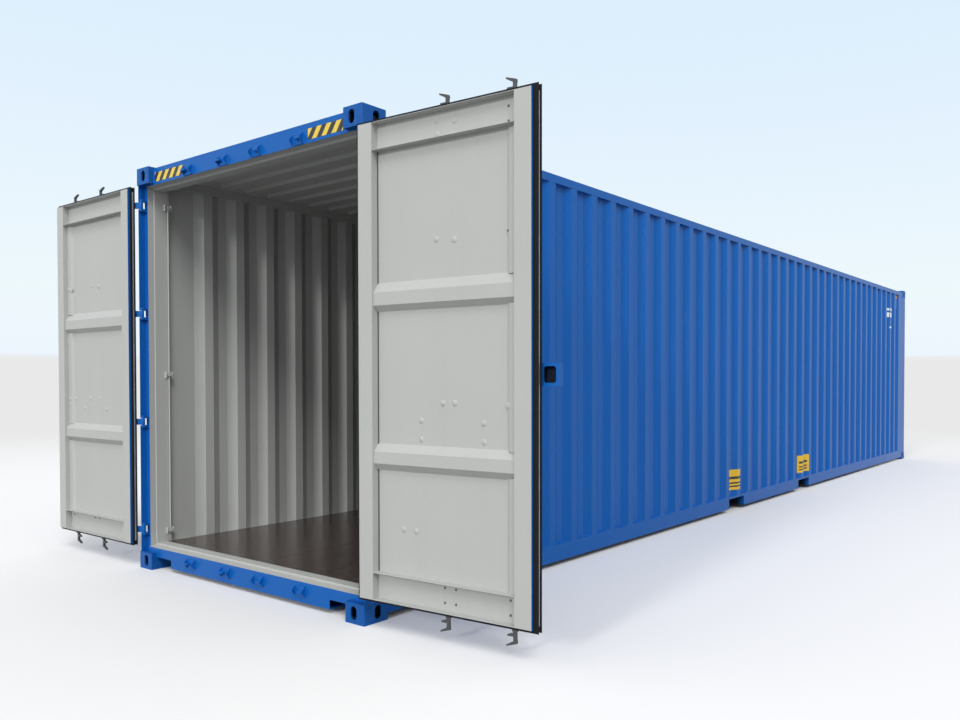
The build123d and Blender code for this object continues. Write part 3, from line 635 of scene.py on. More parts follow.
def add_bevel(piece: bpy.types.Object, width: float, weld: bool = False) -> None:
    """Rounds a piece's sharp edges with a live bevel, over a weld where its triangles are loose."""
    if weld:
        joiner = piece.modifiers.new("weld", "WELD")
        joiner.merge_threshold = WELD_REACH
    rounder = piece.modifiers.new("bevel", "BEVEL")
    rounder.width = width
    rounder.segments = BEVEL_STEPS
    rounder.limit_method = "ANGLE"
    rounder.angle_limit = BEVEL_ABOVE
    rounder.harden_normals = False


@dataclass(frozen=True)
class LeafFrame:
    """A door leaf's own directions at rest: s along it from the pin, d towards its inner face, z up."""

    side: Side
    pin_x: float
    pin_y: float
    angle: float

    @classmethod
    def of(cls, side: Side) -> "LeafFrame":
        """Reads a leaf's pin and rest angle from its hinge joint."""
        joint = next(j for j in frame["joints"] if j["name"] == f"{side.word}_door_hinge")
        x, y, _ = joint["pos_m"]
        return cls(side, x, y, math.radians(-joint["range_deg"][0]))

    @property
    def along(self) -> np.ndarray:
        """Unit vector of s."""
        return np.array((-math.sin(self.angle), -self.side.value * math.cos(self.angle), 0.0))

    @property
    def inward(self) -> np.ndarray:
        """Unit vector of d."""
        return np.array((math.cos(self.angle), -self.side.value * math.sin(self.angle), 0.0))

    def at(self, s: float | np.ndarray, d: float | np.ndarray, z: float | np.ndarray) -> np.ndarray:
        """Points of the container's frame at s, d and z, which may be arrays."""
        s, d, z = np.broadcast_arrays(*(np.asarray(v, float) for v in (s, d, z)))
        pin = np.array((self.pin_x, self.pin_y, 0.0))
        return pin + s[..., None] * self.along + d[..., None] * self.inward + z[..., None] * UP

    def shader(self, tree: Tree) -> tuple[Val, Val, Val, Val]:
        """s, d, z and the normal's part along d, in a shader."""
        x, y, z = tree.place()
        nx, ny, _ = tree.facing()
        s = (x - self.pin_x) * float(self.along[0]) + (y - self.pin_y) * float(self.along[1])
        d = (x - self.pin_x) * float(self.inward[0]) + (y - self.pin_y) * float(self.inward[1])
        return s, d, z, nx * float(self.inward[0]) + ny * float(self.inward[1])


@dataclass(frozen=True)
class LeafSizes:
    """A door leaf's sizes in metres, in its own s, d and z."""

    hinge_s: float = 0.045
    free_s: float = 1.173
    low_z: float = 0.180
    high_z: float = 2.750
    outer_d: float = 0.028
    inner_d: float = 0.078
    stile: float = 0.100
    member: float = 0.150
    hinge_lip: float = 0.020
    end_lip: float = 0.014
    long_free_lip: float = 0.032
    short_free_lip: float = 0.004
    rod_s: tuple[float, float] = (0.607, 1.027)
    bracket_z: tuple[float, ...] = (0.260, 1.250, 2.090, 2.660)
    handle_z: float = 1.110
    catch_from_rod: float = 0.160
    hinge_z: tuple[float, ...] = (0.280, 1.065, 1.850, 2.635)

    def free_lip(self, side: Side) -> float:
        """The seal's reach past the free edge: the right leaf's laps over the left one's."""
        return self.long_free_lip if side is Side.RIGHT else self.short_free_lip


LEAF = LeafSizes()
# A face looks along an axis squarely, slanted or slightly if its normal has more than this part along it.
SQUARELY, SLANTED, SLIGHTLY = 0.5, 0.1, 0.02
# How far inside a leaf's outline its grey paint starts, in metres.
PAINT_EDGE = 0.0006


def leaf_frame_rule(leaf: LeafFrame) -> MaskRule:
    """Rule that paints a leaf frame's inner side grey and its edges and outer face blue."""
    def rule(tree: Tree) -> Val:
        """Inside the leaf's outline and not facing outwards."""
        s, _, z, facing = leaf.shader(tree)
        within = s.above(LEAF.hinge_s + PAINT_EDGE) & s.below(LEAF.free_s - PAINT_EDGE)
        within = within & z.above(LEAF.low_z + PAINT_EDGE) & z.below(LEAF.high_z - PAINT_EDGE)
        return within & facing.above(-SQUARELY)
    return rule


def leaf_panel_rule(leaf: LeafFrame) -> MaskRule:
    """Rule that paints a leaf panel's inner face grey."""
    def rule(tree: Tree) -> Val:
        """Facing inwards."""
        return leaf.shader(tree)[3].above(0.0)
    return rule


def facing_in_rule(axis: int, sign: float) -> MaskRule:
    """Rule that paints faces grey whose normal points against a direction.

    Args:
        axis: 0, 1 or 2 for X, Y or Z.
        sign: The outward direction's sign on that axis.
    """
    def rule(tree: Tree) -> Val:
        """Facing against the outward direction."""
        return (tree.facing()[axis] * sign).below(-SLIGHTLY)
    return rule


@dataclass(frozen=True)
class EndPaintPlanes:
    """Planes on the end frames where the grey paint meets the blue, in metres."""

    header_back_x: float = -5.9185
    header_under_z: float = 2.772
    post_grey_x: float = -6.0385
    sill_grey_x: float = -6.0525
    sill_grey_z: float = 0.1505
    header_grey_x: float = -6.0525
    post_leg_y: float = 1.2089


END = EndPaintPlanes()


def door_post_rule(tree: Tree) -> Val:
    """Grey on the jamb behind the door stop, blue elsewhere."""
    x, y, _ = tree.place()
    return x.above(END.post_grey_x) & abs(y).below(END.post_leg_y)


def front_post_rule(tree: Tree) -> Val:
    """Grey on the front posts' faces that look towards the doors or the container's middle."""
    nx, ny, _ = tree.facing()
    _, y, _ = tree.place()
    return nx.below(-SLANTED) & abs(y).below(END.post_leg_y) | (ny * y).below(-SQUARELY)


def header_rule(tree: Tree) -> Val:
    """Grey on the header's underside and on its back."""
    x, _, z = tree.place()
    under = x.above(END.header_grey_x) & z.below(END.header_under_z)
    return under | x.above(END.header_back_x)


def sill_rule(tree: Tree) -> Val:
    """Grey on the threshold."""
    x, _, z = tree.place()
    return z.above(END.sill_grey_z) & x.above(END.sill_grey_x)


@dataclass(frozen=True)
class WallWave:
    """The pressed side wall's outer face, in metres from the container's middle plane.

    The wall repeats every pitch about the middle: an inner flat, a slope out, an outer flat and a slope in.
    The face lies at outer_y less depth times one less the rise, and the rise goes from 0 on an inner flat
    to 1 on an outer one. A film on the wall is film_skin thick, and skin_depth under the outer face counts
    as inside.
    """

    pitch: float = 0.278
    inner_flat: float = 0.070
    slope: float = 0.068
    depth: float = 0.036
    outer_y: float = 1.214
    last_wave: int = 20
    film_skin: float = 0.0006
    skin_depth: float = 0.0012

    def face(self, x: np.ndarray) -> np.ndarray:
        """Distance of the outer face from the middle plane at x."""
        nearest = np.clip(np.round(x / self.pitch), -self.last_wave, self.last_wave)
        from_recess = np.abs(x - self.pitch * nearest)
        rise = np.clip((from_recess - self.inner_flat / 2) / self.slope, 0.0, 1.0)
        return self.outer_y - self.depth * (1.0 - rise)

    def shader_face(self, tree: Tree, x: Val) -> Val:
        """The same distance in a shader, for the wavy part of the wall."""
        from_recess = abs((x + self.pitch / 2) % self.pitch - self.pitch / 2)
        rise = tree.node("ShaderNodeMapRange", {"clamp": True},
                         {"Value": from_recess, "From Min": self.inner_flat / 2,
                          "From Max": self.inner_flat / 2 + self.slope})
        return rise * self.depth + (self.outer_y - self.depth)

    def corners(self, low: float, high: float) -> np.ndarray:
        """The x of every fold between low and high, with both ends."""
        middles = np.arange(-self.last_wave, self.last_wave + 1) * self.pitch
        half = self.inner_flat / 2
        folds = (middles[:, None] + np.array((-half - self.slope, -half, half, half + self.slope))).ravel()
        inside = folds[(folds > low) & (folds < high)]
        return np.concatenate(([low], inside, [high]))

    def film(self, parts: MeshParts, side: Side, x_span: tuple[float, float],
             z_span: tuple[float, float], lift: float = 0.0) -> None:
        """Adds a thin film that follows the wall's outer face, or lies lift above it, over a rectangle."""
        x = self.corners(*x_span)
        y = (self.face(x) + lift) * side.value
        skin = self.film_skin * side.value
        low_z, high_z = z_span
        sections = [np.stack([x, y + offset, np.full_like(x, z)], axis=-1)
                    for offset, z in ((0.0, low_z), (skin, low_z), (skin, high_z), (0.0, high_z))]
        parts.tube(np.stack(sections, axis=1), capped=True)


WAVE = WallWave()


def inside_the_wall(tree: Tree) -> Val:
    """Mask that is 1 on the cargo side of the pressed side walls."""
    x, y, _ = tree.place()
    wavy = (abs(y) - WAVE.shader_face(tree, x)).below(-WAVE.skin_depth)
    beyond = abs(x).above(WAVE.last_wave * WAVE.pitch + WAVE.pitch / 2)
    return wavy | (abs(y).below(WAVE.outer_y - WAVE.skin_depth) & beyond)


def top_rail_rule(tree: Tree) -> Val:
    """Grey on the top rails' faces that look into the cargo space."""
    _, y, _ = tree.place()
    _, ny, nz = tree.facing()
    return (ny * y).below(-SQUARELY) | (nz.below(-SQUARELY) & inside_the_wall(tree))


def bottom_rail_rule(tree: Tree) -> Val:
    """Grey on the top flange inside the walls."""
    return tree.facing()[2].above(SQUARELY) & inside_the_wall(tree)


@dataclass(frozen=True)
class CastingHollows:
    """The corner castings' hollows, whose insides get painted shade, in metres: their middles from the
    container's own, and half sizes.
    """

    middle: tuple[float, float, float] = (6.007, 1.138, 1.389)
    half_height: float = 1.448
    deep: tuple[float, float, float] = (0.076, 0.068, 0.046)
    rim: float = 0.007


def casting_hollow_rule(tree: Tree) -> Val:
    """Painted shade mask: 1 in a corner casting's hollow and 0 on its outside, with the holes' rims between.
    """
    hollows = CastingHollows()
    x, y, z = tree.place()
    in_x, in_y, in_z = (abs(abs(place) - middle).ramp(deep + hollows.rim, deep) for place, middle, deep
                        in zip((x, y, z - hollows.half_height), hollows.middle, hollows.deep))
    return in_x & in_y & in_z


# Painted shade deepens from a fork pocket's mouth to full at the second distance from the middle.
POCKET_MOUTH_Y, POCKET_FULL_SHADE_Y = 1.208, 1.120


def pocket_depth_rule(tree: Tree) -> Val:
    """Painted shade mask: 1 well inside a fork pocket and 0 at its mouths."""
    _, y, _ = tree.place()
    return abs(y).ramp(POCKET_MOUTH_Y, POCKET_FULL_SHADE_Y)


@dataclass(frozen=True)
class LockBoxSizes:
    """The lock box on the right leaf, in metres in the leaf's s, d and z."""

    middle_s: float = 1.240
    middle_z: float = 1.397
    inside_s: tuple[float, float] = (1.1934, 1.2866)
    inside_d: tuple[float, float] = (-0.0146, 0.0218)
    inside_z: tuple[float, float] = (1.3454, 1.4486)


LOCK_BOX = LockBoxSizes()


def lock_box_rule(leaf: LeafFrame) -> MaskRule:
    """Painted shade mask: 1 inside the lock box."""
    def rule(tree: Tree) -> Val:
        """Between the box's walls and behind its front."""
        s, d, z, _ = leaf.shader(tree)
        in_s, in_d, in_z = (place.above(low) & place.below(high) for place, (low, high)
                            in ((s, LOCK_BOX.inside_s), (d, LOCK_BOX.inside_d), (z, LOCK_BOX.inside_z)))
        return in_s & in_d & in_z
    return rule


@dataclass(frozen=True)
class SteelDress:
    """A finish for CAD nodes that stay as they are, with a small rounding on their edges."""

    nodes: tuple[str, ...]
    finish: PaintedSteel | BareSteel
    rounding: float = 0.0

    def apply(self) -> None:
        """Gives each node the finish and the rounding."""
        material = self.finish.material()
        for node in self.nodes:
            piece = bpy.data.objects[node]
            for slot in piece.material_slots:
                slot.material = material
            if self.rounding:
                add_bevel(piece, self.rounding, weld=True)
            log.info("%s wears %s", node, self.finish.name)


EDGE, POST_EDGE, SMALL_EDGE = 0.0012, 0.0016, 0.0010
ROUGH_RELIEF = 0.0012


class SteelWork:
    """Every CAD node that shows in the finished scene."""

    def __init__(self) -> None:
        """Lists the finishes by where the two paints meet."""
        def blue(name: str, rule: MaskRule | None = None) -> PaintedSteel:
            """Blue paint, with grey where the rule says so."""
            return PaintedSteel(name, BLUE, GREY if rule else None, rule)

        self.dresses = [
            SteelDress(("corner_castings_bottom", "corner_castings_top"),
                       PaintedSteel("cast_corner_paint", CAST_BLUE, PAINTED_HOLLOW_SHADE, casting_hollow_rule,
                                    ROUGH_RELIEF)),
            SteelDress(("rear_post_left", "rear_post_right"),
                       blue("door_post_paint", door_post_rule), POST_EDGE),
            SteelDress(("front_posts",), blue("front_post_paint", front_post_rule), POST_EDGE),
            SteelDress(("door_header",), blue("header_paint", header_rule), EDGE),
            SteelDress(("door_sill",), blue("sill_paint", sill_rule), EDGE),
            SteelDress(("cam_keepers", "hinge_lugs"), blue("small_fitting_paint"), EDGE),
            SteelDress(("top_side_rails",), blue("top_rail_paint", top_rail_rule), EDGE),
            SteelDress(("bottom_side_rails",), blue("bottom_rail_paint", bottom_rail_rule), EDGE),
            SteelDress(("front_top_rail", "front_sill"), blue("front_rail_paint", facing_in_rule(0, 1.0))),
            SteelDress(("side_wall_left",), blue("left_wall_paint", facing_in_rule(1, 1.0))),
            SteelDress(("side_wall_right",), blue("right_wall_paint", facing_in_rule(1, -1.0))),
            SteelDress(("front_wall",), blue("front_wall_paint", facing_in_rule(0, 1.0))),
            SteelDress(("roof_panel", "roof_header_plates"), blue("roof_paint", facing_in_rule(2, 1.0))),
            SteelDress(("fork_pockets",), PaintedSteel("fork_pocket_paint", BLUE, PAINTED_HOLLOW_SHADE, pocket_depth_rule)),
            SteelDress(("cross_members", "tunnel_outriggers", "gooseneck_tunnel"),
                       PaintedSteel("underside_coat", UNDERCOAT, relief=ROUGH_RELIEF)),
            SteelDress(("lashing_bars",), PaintedSteel("lashing_bar_paint", GREY)),
        ]
        for side in Side:
            self.dresses += self._door(side)

    @staticmethod
    def _door(side: Side) -> list[SteelDress]:
        """The finishes of one door leaf."""
        leaf = LeafFrame.of(side)
        word = side.word
        frame_paint = PaintedSteel(f"{word}_leaf_frame_paint", BLUE, GREY, leaf_frame_rule(leaf))
        panel_paint = PaintedSteel(f"{word}_leaf_panel_paint", BLUE, GREY, leaf_panel_rule(leaf))
        fitting_paint = PaintedSteel(f"{word}_hinge_paint", BLUE)
        # Painted shade: the rods, handles, catches and brackets are tinted near black, far darker than zinc,
        # to stand in for the shade they hang in.
        shade_darkened_galvanised = BareSteel(f"{word}_galvanised_steel", (0.100, 0.100, 0.100), roughness=0.45)
        if side is Side.RIGHT:
            box_paint_and_shade = PaintedSteel("lock_box_paint", BLUE, PAINTED_HOLLOW_SHADE, lock_box_rule(leaf))
            lock_part = SteelDress(("lock_box",), box_paint_and_shade)
        else:
            lock_part = SteelDress(("lock_staple",), fitting_paint, SMALL_EDGE)
        fittings = ("rod_brackets", "handle_catches", "outer_lock_rod", "inner_lock_rod",
                    "outer_lock_handle", "inner_lock_handle")
        return [
            SteelDress((f"{word}_door_frame",), frame_paint, EDGE),
            SteelDress((f"{word}_door_panel",), panel_paint),
            SteelDress((f"{word}_hinge_blades",), fitting_paint, SMALL_EDGE),
            lock_part,
            SteelDress(tuple(f"{word}_{fitting}" for fitting in fittings), shade_darkened_galvanised, SMALL_EDGE),
        ]

    def apply(self) -> None:
        """Dresses every node."""
        for dress in self.dresses:
            dress.apply()


@dataclass
class HazardMarkings:
    """The two bands of hazard tape on the door header, laid on its face."""

    face_x: float = -6.054
    thickness: float = 0.0004
    low_z: float = 2.790
    high_z: float = 2.855
    bands: Marks = ((0.671, 1.041), (-1.009, -0.694))
    tape: SlantedStripes = SlantedStripes("hazard_tape", (0.76, 0.55, 0.07), (0.030, 0.024, 0.020))

    def build(self) -> None:
        """Makes one thin sheet for each band."""
        tape = self.tape.material()
        for number, (low_y, high_y) in enumerate(self.bands):
            parts = MeshParts()
            parts.slab((self.face_x - self.thickness, low_y, self.low_z), (self.face_x, high_y, self.high_z))
            parts.build(f"hazard_marking_{number}", tape, "root", "blue_paint")


@dataclass(frozen=True)
class BarRow:
    """A row of plain bars on the side wall, in metres."""

    z_span: tuple[float, float]
    start_x: float
    widths: tuple[float, ...]


@dataclass
class WallMarkings:
    """Plain plates over the fork pockets and plain bars near the front top corner, as thin films."""

    plate_x: Marks = ((-1.213, -0.873), (0.873, 1.213))
    plate_z: tuple[float, float] = (0.218, 0.430)
    plate_margin: float = 0.030
    plate_bars: Marks = ((0.030, 0.046), (0.064, 0.080), (0.112, 0.140))
    bar_rows: tuple[BarRow, ...] = (BarRow((2.500, 2.540), 4.980, (0.110, 0.150, 0.040)),
                                    BarRow((2.395, 2.470), 4.980, (0.110, 0.150, 0.040)),
                                    BarRow((2.215, 2.245), 5.100, (0.100,)))
    bar_gap: float = 0.022
    corner_x: tuple[float, float] = (5.560, 5.620)
    corner_z: tuple[float, float] = (2.735, 2.788)

    def build(self) -> None:
        """Makes the plates, the bars and the corner patch on both long sides."""
        plate_coat = PlainCoat("pocket_plate_yellow", (0.74, 0.47, 0.015), roughness=0.4).material()
        dark_coat = PlainCoat("pocket_plate_bar_black", (0.020, 0.018, 0.016), roughness=0.4).material()
        bar_coat = PlainCoat("marking_white", (0.80, 0.82, 0.84), roughness=0.4).material()
        patch_coat = PlainCoat("patch_amber", (0.80, 0.30, 0.03), roughness=0.4).material()
        for side in Side:
            plates, marks, bars, patch = MeshParts(), MeshParts(), MeshParts(), MeshParts()
            for x_span in self.plate_x:
                WAVE.film(plates, side, x_span, self.plate_z)
                self._plate_bars(marks, side, x_span)
            for row in self.bar_rows:
                start = row.start_x
                for width in row.widths:
                    WAVE.film(bars, side, (start, start + width), row.z_span)
                    start += width + self.bar_gap
            WAVE.film(patch, side, self.corner_x, self.corner_z)
            plates.build(f"pocket_plates_{side.word}", plate_coat, "root", "blue_paint")
            marks.build(f"pocket_plate_bars_{side.word}", dark_coat, "root", "blue_paint")
            bars.build(f"plain_bars_{side.word}", bar_coat, "root", "blue_paint")
            patch.build(f"corner_patch_{side.word}", patch_coat, "root", "blue_paint")

    def _plate_bars(self, parts: MeshParts, side: Side, x_span: tuple[float, float]) -> None:
        """Adds three plain dark bars of one length on a plate."""
        low_x, high_x = x_span
        low_z, _ = self.plate_z
        inside = (low_x + self.plate_margin, high_x - self.plate_margin)
        for low, high in self.plate_bars:
            WAVE.film(parts, side, inside, (low_z + low, low_z + high), WAVE.film_skin)


# Small turned hardware, as radius and height pairs from the base to the top, in metres.
RIVET: Marks = ((0.0026, 0.0), (0.0022, 0.0008), (0.0010, 0.0013))
SCREW: Marks = ((0.0070, 0.0), (0.0066, 0.0010), (0.0030, 0.0006))
BOLT: Marks = ((0.0075, 0.0), (0.0075, 0.0035), (0.0062, 0.0048), (0.0, 0.0050))
BOLT_END: Marks = ((0.0070, 0.0), (0.0066, 0.0022), (0.0040, 0.0032))
BLISTER: Marks = ((0.0170, 0.0), (0.0145, 0.0024), (0.0090, 0.0046), (0.0020, 0.0052))
# Points round each kind of turned piece.
SMALL_SIDES, BOLT_SIDES, BOLT_END_SIDES, BLISTER_SIDES = 8, 6, 10, 14


@dataclass
class Gasket:
    """One leaf's door seal: an extruded rubber with two lips, held by a riveted metal strip.

    The profile says how far out it stands, as a share of each edge's reach, and its depth in metres.
    The left leaf's free edge has too short a lip for a strip.
    """

    side: Side
    profile: Marks = ((0.00, 0.0320), (0.55, 0.0322), (0.90, 0.0330), (1.00, 0.0352), (0.90, 0.0370),
                      (0.80, 0.0385), (0.74, 0.0410), (0.72, 0.0430), (0.72, 0.0530), (0.74, 0.0550),
                      (0.80, 0.0572), (0.90, 0.0590), (1.00, 0.0612), (1.00, 0.0640), (0.00, 0.0640))
    groove: float = 0.72
    shortest_with_strip: float = 0.010
    strip_d: tuple[float, float] = (0.0435, 0.0525)
    strip_thickness: float = 0.0012
    strip_gap: float = 0.020
    rivet_margins: tuple[float, float] = (0.1, 0.05)
    rivet_pitch: float = 0.2

    @property
    def leaf(self) -> LeafFrame:
        """The leaf's own directions."""
        return LeafFrame.of(self.side)

    @property
    def reach(self) -> dict[str, float]:
        """How far the seal stands out past each edge of the leaf."""
        return {"hinge": LEAF.hinge_lip, "free": LEAF.free_lip(self.side), "end": LEAF.end_lip}

    def build(self) -> None:
        """Makes the rubber ring, the strips and their rivets."""
        word = self.side.word
        body = f"{word}_door"
        rubber = Rubber(f"{word}_seal_rubber", (0.009, 0.009, 0.010)).material()
        steel = BareSteel(f"{word}_seal_strip_steel", (0.62, 0.63, 0.64), roughness=0.42).material()
        ring = self._ring().build(f"{word}_door_seal", rubber, body, "gasket_rubber", smooth=True)
        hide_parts(f"{word}_door_gasket")
        self._strips().build(f"{word}_seal_strips", steel, body, "galvanised_steel", smooth=True)

    def _ring(self) -> MeshParts:
        """The rubber, as the profile's rings at the leaf's corners, mitred there."""
        share, depth = np.array(self.profile).T
        rings = []
        for s_sign, z_sign in ((-1, -1), (1, -1), (1, 1), (-1, 1), (-1, -1)):
            s_reach = self.reach["hinge"] if s_sign < 0 else self.reach["free"]
            s = (LEAF.hinge_s if s_sign < 0 else LEAF.free_s) + s_sign * share * s_reach
            z = (LEAF.low_z if z_sign < 0 else LEAF.high_z) + z_sign * share * self.reach["end"]
            rings.append(self.leaf.at(s, depth, z))
        parts = MeshParts()
        parts.tube(np.array(rings))
        return parts

    def _strips(self) -> MeshParts:
        """The flat strips in the groove, each a section carried along its edge, with a row of rivets."""
        parts, leaf = MeshParts(), self.leaf
        low_d, high_d = self.strip_d
        middle_d = (low_d + high_d) / 2
        s_span, z_span = (LEAF.hinge_s, LEAF.free_s), (LEAF.low_z, LEAF.high_z)
        for edge, base, sign in zip(("hinge", "free"), s_span, (-1, 1)):
            if self.reach[edge] < self.shortest_with_strip:
                continue
            near = base + sign * self.reach[edge] * self.groove
            far = near + sign * self.strip_thickness
            section = np.array([(near, low_d), (far, low_d), (far, high_d), (near, high_d)])
            parts.sweep(section, leaf.at(0.0, 0.0, self._ends(z_span)), leaf.along, leaf.inward)
            parts.turned(RIVET, leaf.at(far, middle_d, self._row(z_span)), sign * leaf.along, SMALL_SIDES)
        for base, sign in zip(z_span, (-1, 1)):
            near = base + sign * self.reach["end"] * self.groove
            far = near + sign * self.strip_thickness
            section = np.array([(low_d, near), (high_d, near), (high_d, far), (low_d, far)])
            parts.sweep(section, leaf.at(self._ends(s_span), 0.0, 0.0), leaf.inward, UP)
            parts.turned(RIVET, leaf.at(self._row(s_span), middle_d, far), sign * UP, SMALL_SIDES)
        return parts

    def _ends(self, span: tuple[float, float]) -> np.ndarray:
        """Where a strip along an edge starts and ends."""
        return np.array((span[0] + self.strip_gap, span[1] - self.strip_gap))

    def _row(self, span: tuple[float, float]) -> np.ndarray:
        """Where the rivets along an edge stand."""
        first, last = self.rivet_margins
        return np.arange(span[0] + first, span[1] - last, self.rivet_pitch)


@dataclass(frozen=True)
class LeafMarks:
    """Where one leaf's inner face shows bolt ends and weld blisters, as s and z in metres."""

    bolt_ends: Marks
    blisters: Marks


LEAF_MARKS = {
    Side.RIGHT: LeafMarks(
        ((1.011, 2.696), (1.011, 2.624), (1.010, 2.095), (1.064, 2.095), (1.021, 0.294), (1.021, 0.221),
         (0.609, 0.300), (0.681, 0.300), (0.609, 0.223), (0.681, 0.223)),
        ((0.558, 2.701), (0.675, 2.682), (0.564, 2.630), (0.668, 2.613), (0.555, 2.094), (0.673, 2.083),
         (0.598, 1.251), (0.675, 1.253), (0.451, 1.158), (0.451, 1.060), (0.857, 1.155), (0.860, 1.061),
         (1.013, 1.246), (0.327, 0.574), (0.414, 0.572))),
    Side.LEFT: LeafMarks(
        ((0.609, 0.300), (0.681, 0.300), (1.021, 0.294)),
        ((1.055, 1.219), (0.991, 1.221), (0.740, 1.225), (0.585, 1.227), (0.831, 1.149), (0.480, 1.146),
         (1.055, 2.089), (1.018, 2.081), (0.698, 2.095), (0.589, 2.087))),
}


@dataclass
class LeafDetails:
    """One leaf's small work: raised strips, sealant tinted dark as a painted shadow line, bolt ends,
    blisters, outer bolts and hinge bolts.

    The sealant's shape is in shares of its width, and each plate's bolts stand at a half spacing along s
    and one along z.
    """

    side: Side
    strip_width: float = 0.071
    strip_slope: float = 0.022
    strip_rise: float = 0.014
    sealant_width: float = 0.006
    sealant_shape: Marks = ((0.0, 0.0), (1.0, 0.0), (0.6, 0.5), (0.0, 0.8))
    panel_d: float = 0.030
    web_d: float = 0.031
    strip_spans: Marks = ((0.330, 0.890), (1.020, 1.745), (1.888, 2.600))
    bracket_plate: float = 0.005
    bracket_bolts: tuple[float, float] = (0.038, 0.014)
    catch_bolts: tuple[float, float] = (0.012, 0.050)
    hinge_blade: float = 0.008
    hinge_bolt_s: tuple[float, float] = (0.082, 0.126)

    def build(self) -> None:
        """Makes the leaf's pieces."""
        leaf = LeafFrame.of(self.side)
        word = self.side.word
        body = f"{word}_door"
        paint = PaintedSteel(f"{word}_leaf_detail_grey", GREY).material()
        blue = PaintedSteel(f"{word}_leaf_detail_blue", BLUE).material()
        steel = PlainCoat(f"{word}_leaf_bolt_steel", (0.10, 0.10, 0.10), roughness=0.5).material()
        self._strips(leaf).build(f"{word}_leaf_strips", paint, body, "grey_paint")
        # Painted shadow: the sealant is tinted dark to stand in for the shadow line along the hinge stile.
        sealant_and_shadow_line = PlainCoat(f"{word}_leaf_sealant_dark", (0.060, 0.062, 0.060), roughness=0.6).material()
        self._sealant(leaf).build(f"{word}_leaf_sealant", sealant_and_shadow_line, body, "gasket_rubber")
        marks = LEAF_MARKS[self.side]
        inward = leaf.inward
        ends, blisters, bolts = MeshParts(), MeshParts(), MeshParts()
        ends.turned(BOLT_END, self._on_inner_face(leaf, marks.bolt_ends), inward, BOLT_END_SIDES)
        blisters.turned(BLISTER, self._on_inner_face(leaf, marks.blisters), inward, BLISTER_SIDES)
        bolts.turned(BOLT, self._outer_bolt_places(leaf), -inward, BOLT_SIDES)
        ends.build(f"{word}_leaf_bolt_ends", steel, body, "galvanised_steel")
        blisters.build(f"{word}_leaf_blisters", paint, body, "grey_paint", smooth=True)
        bolts.build(f"{word}_leaf_bolts", steel, body, "galvanised_steel")
        self._hinge_bolts(leaf).build(f"{word}_hinge_bolts", blue, body, "blue_paint")

    def _between_ribs(self, leaf: LeafFrame, section: Sequence[tuple[float, float]]) -> MeshParts:
        """Carries a closed section of s and d values straight up in each space between the ribs."""
        parts = MeshParts()
        for span in self.strip_spans:
            parts.sweep(np.array(section), leaf.at(0.0, 0.0, np.array(span)), leaf.along, leaf.inward)
        return parts

    def _strips(self, leaf: LeafFrame) -> MeshParts:
        """The strips beside the free stile, with one slanted side."""
        end = LEAF.free_s - LEAF.stile
        start = end - self.strip_width
        low, high = self.panel_d, self.panel_d + self.strip_rise
        slanted = start + self.strip_slope
        return self._between_ribs(leaf, [(start, low), (slanted, high), (end, high), (end, low)])

    def _sealant(self, leaf: LeafFrame) -> MeshParts:
        """Sealant beads where the panel meets the hinge stile, tinted dark as a painted shadow line along the
        stile.
        """
        start = LEAF.hinge_s + LEAF.stile
        return self._between_ribs(leaf, [(start + self.sealant_width * across,
                                          self.panel_d + self.sealant_width * out)
                                         for across, out in self.sealant_shape])

    def _on_inner_face(self, leaf: LeafFrame, marks: Marks) -> np.ndarray:
        """Places of marks on whichever inner surface lies behind them."""
        s, z = np.array(marks).T
        end = LEAF.free_s - LEAF.stile
        start = end - self.strip_width
        d = self.panel_d + np.clip((s - start) / self.strip_slope, 0.0, 1.0) * self.strip_rise
        d = np.where((z > LEAF.high_z - LEAF.member) | (z < LEAF.low_z + LEAF.member), self.web_d, d)
        return leaf.at(s, np.where(s > end, LEAF.inner_d, d), z)

    def _outer_bolt_places(self, leaf: LeafFrame) -> np.ndarray:
        """Bolts at the four corners of every bearing bracket's and handle catch's base plate."""
        plates = [(rod, z, self.bracket_bolts) for rod in LEAF.rod_s for z in LEAF.bracket_z]
        plates += [(rod - LEAF.catch_from_rod, LEAF.handle_z, self.catch_bolts) for rod in LEAF.rod_s]
        s, z = np.array([(middle_s + across * half_s, middle_z + up * half_z)
                         for middle_s, middle_z, (half_s, half_z) in plates
                         for across in (-1, 1) for up in (-1, 1)]).T
        return leaf.at(s, LEAF.outer_d - self.bracket_plate, z)

    def _hinge_bolts(self, leaf: LeafFrame) -> MeshParts:
        """Two painted bolts on each hinge blade."""
        s, z = np.array([(s, z) for z in LEAF.hinge_z for s in self.hinge_bolt_s]).T
        parts = MeshParts()
        parts.turned(BOLT, leaf.at(s, LEAF.outer_d - self.hinge_blade, z), -leaf.inward, BOLT_SIDES)
        return parts


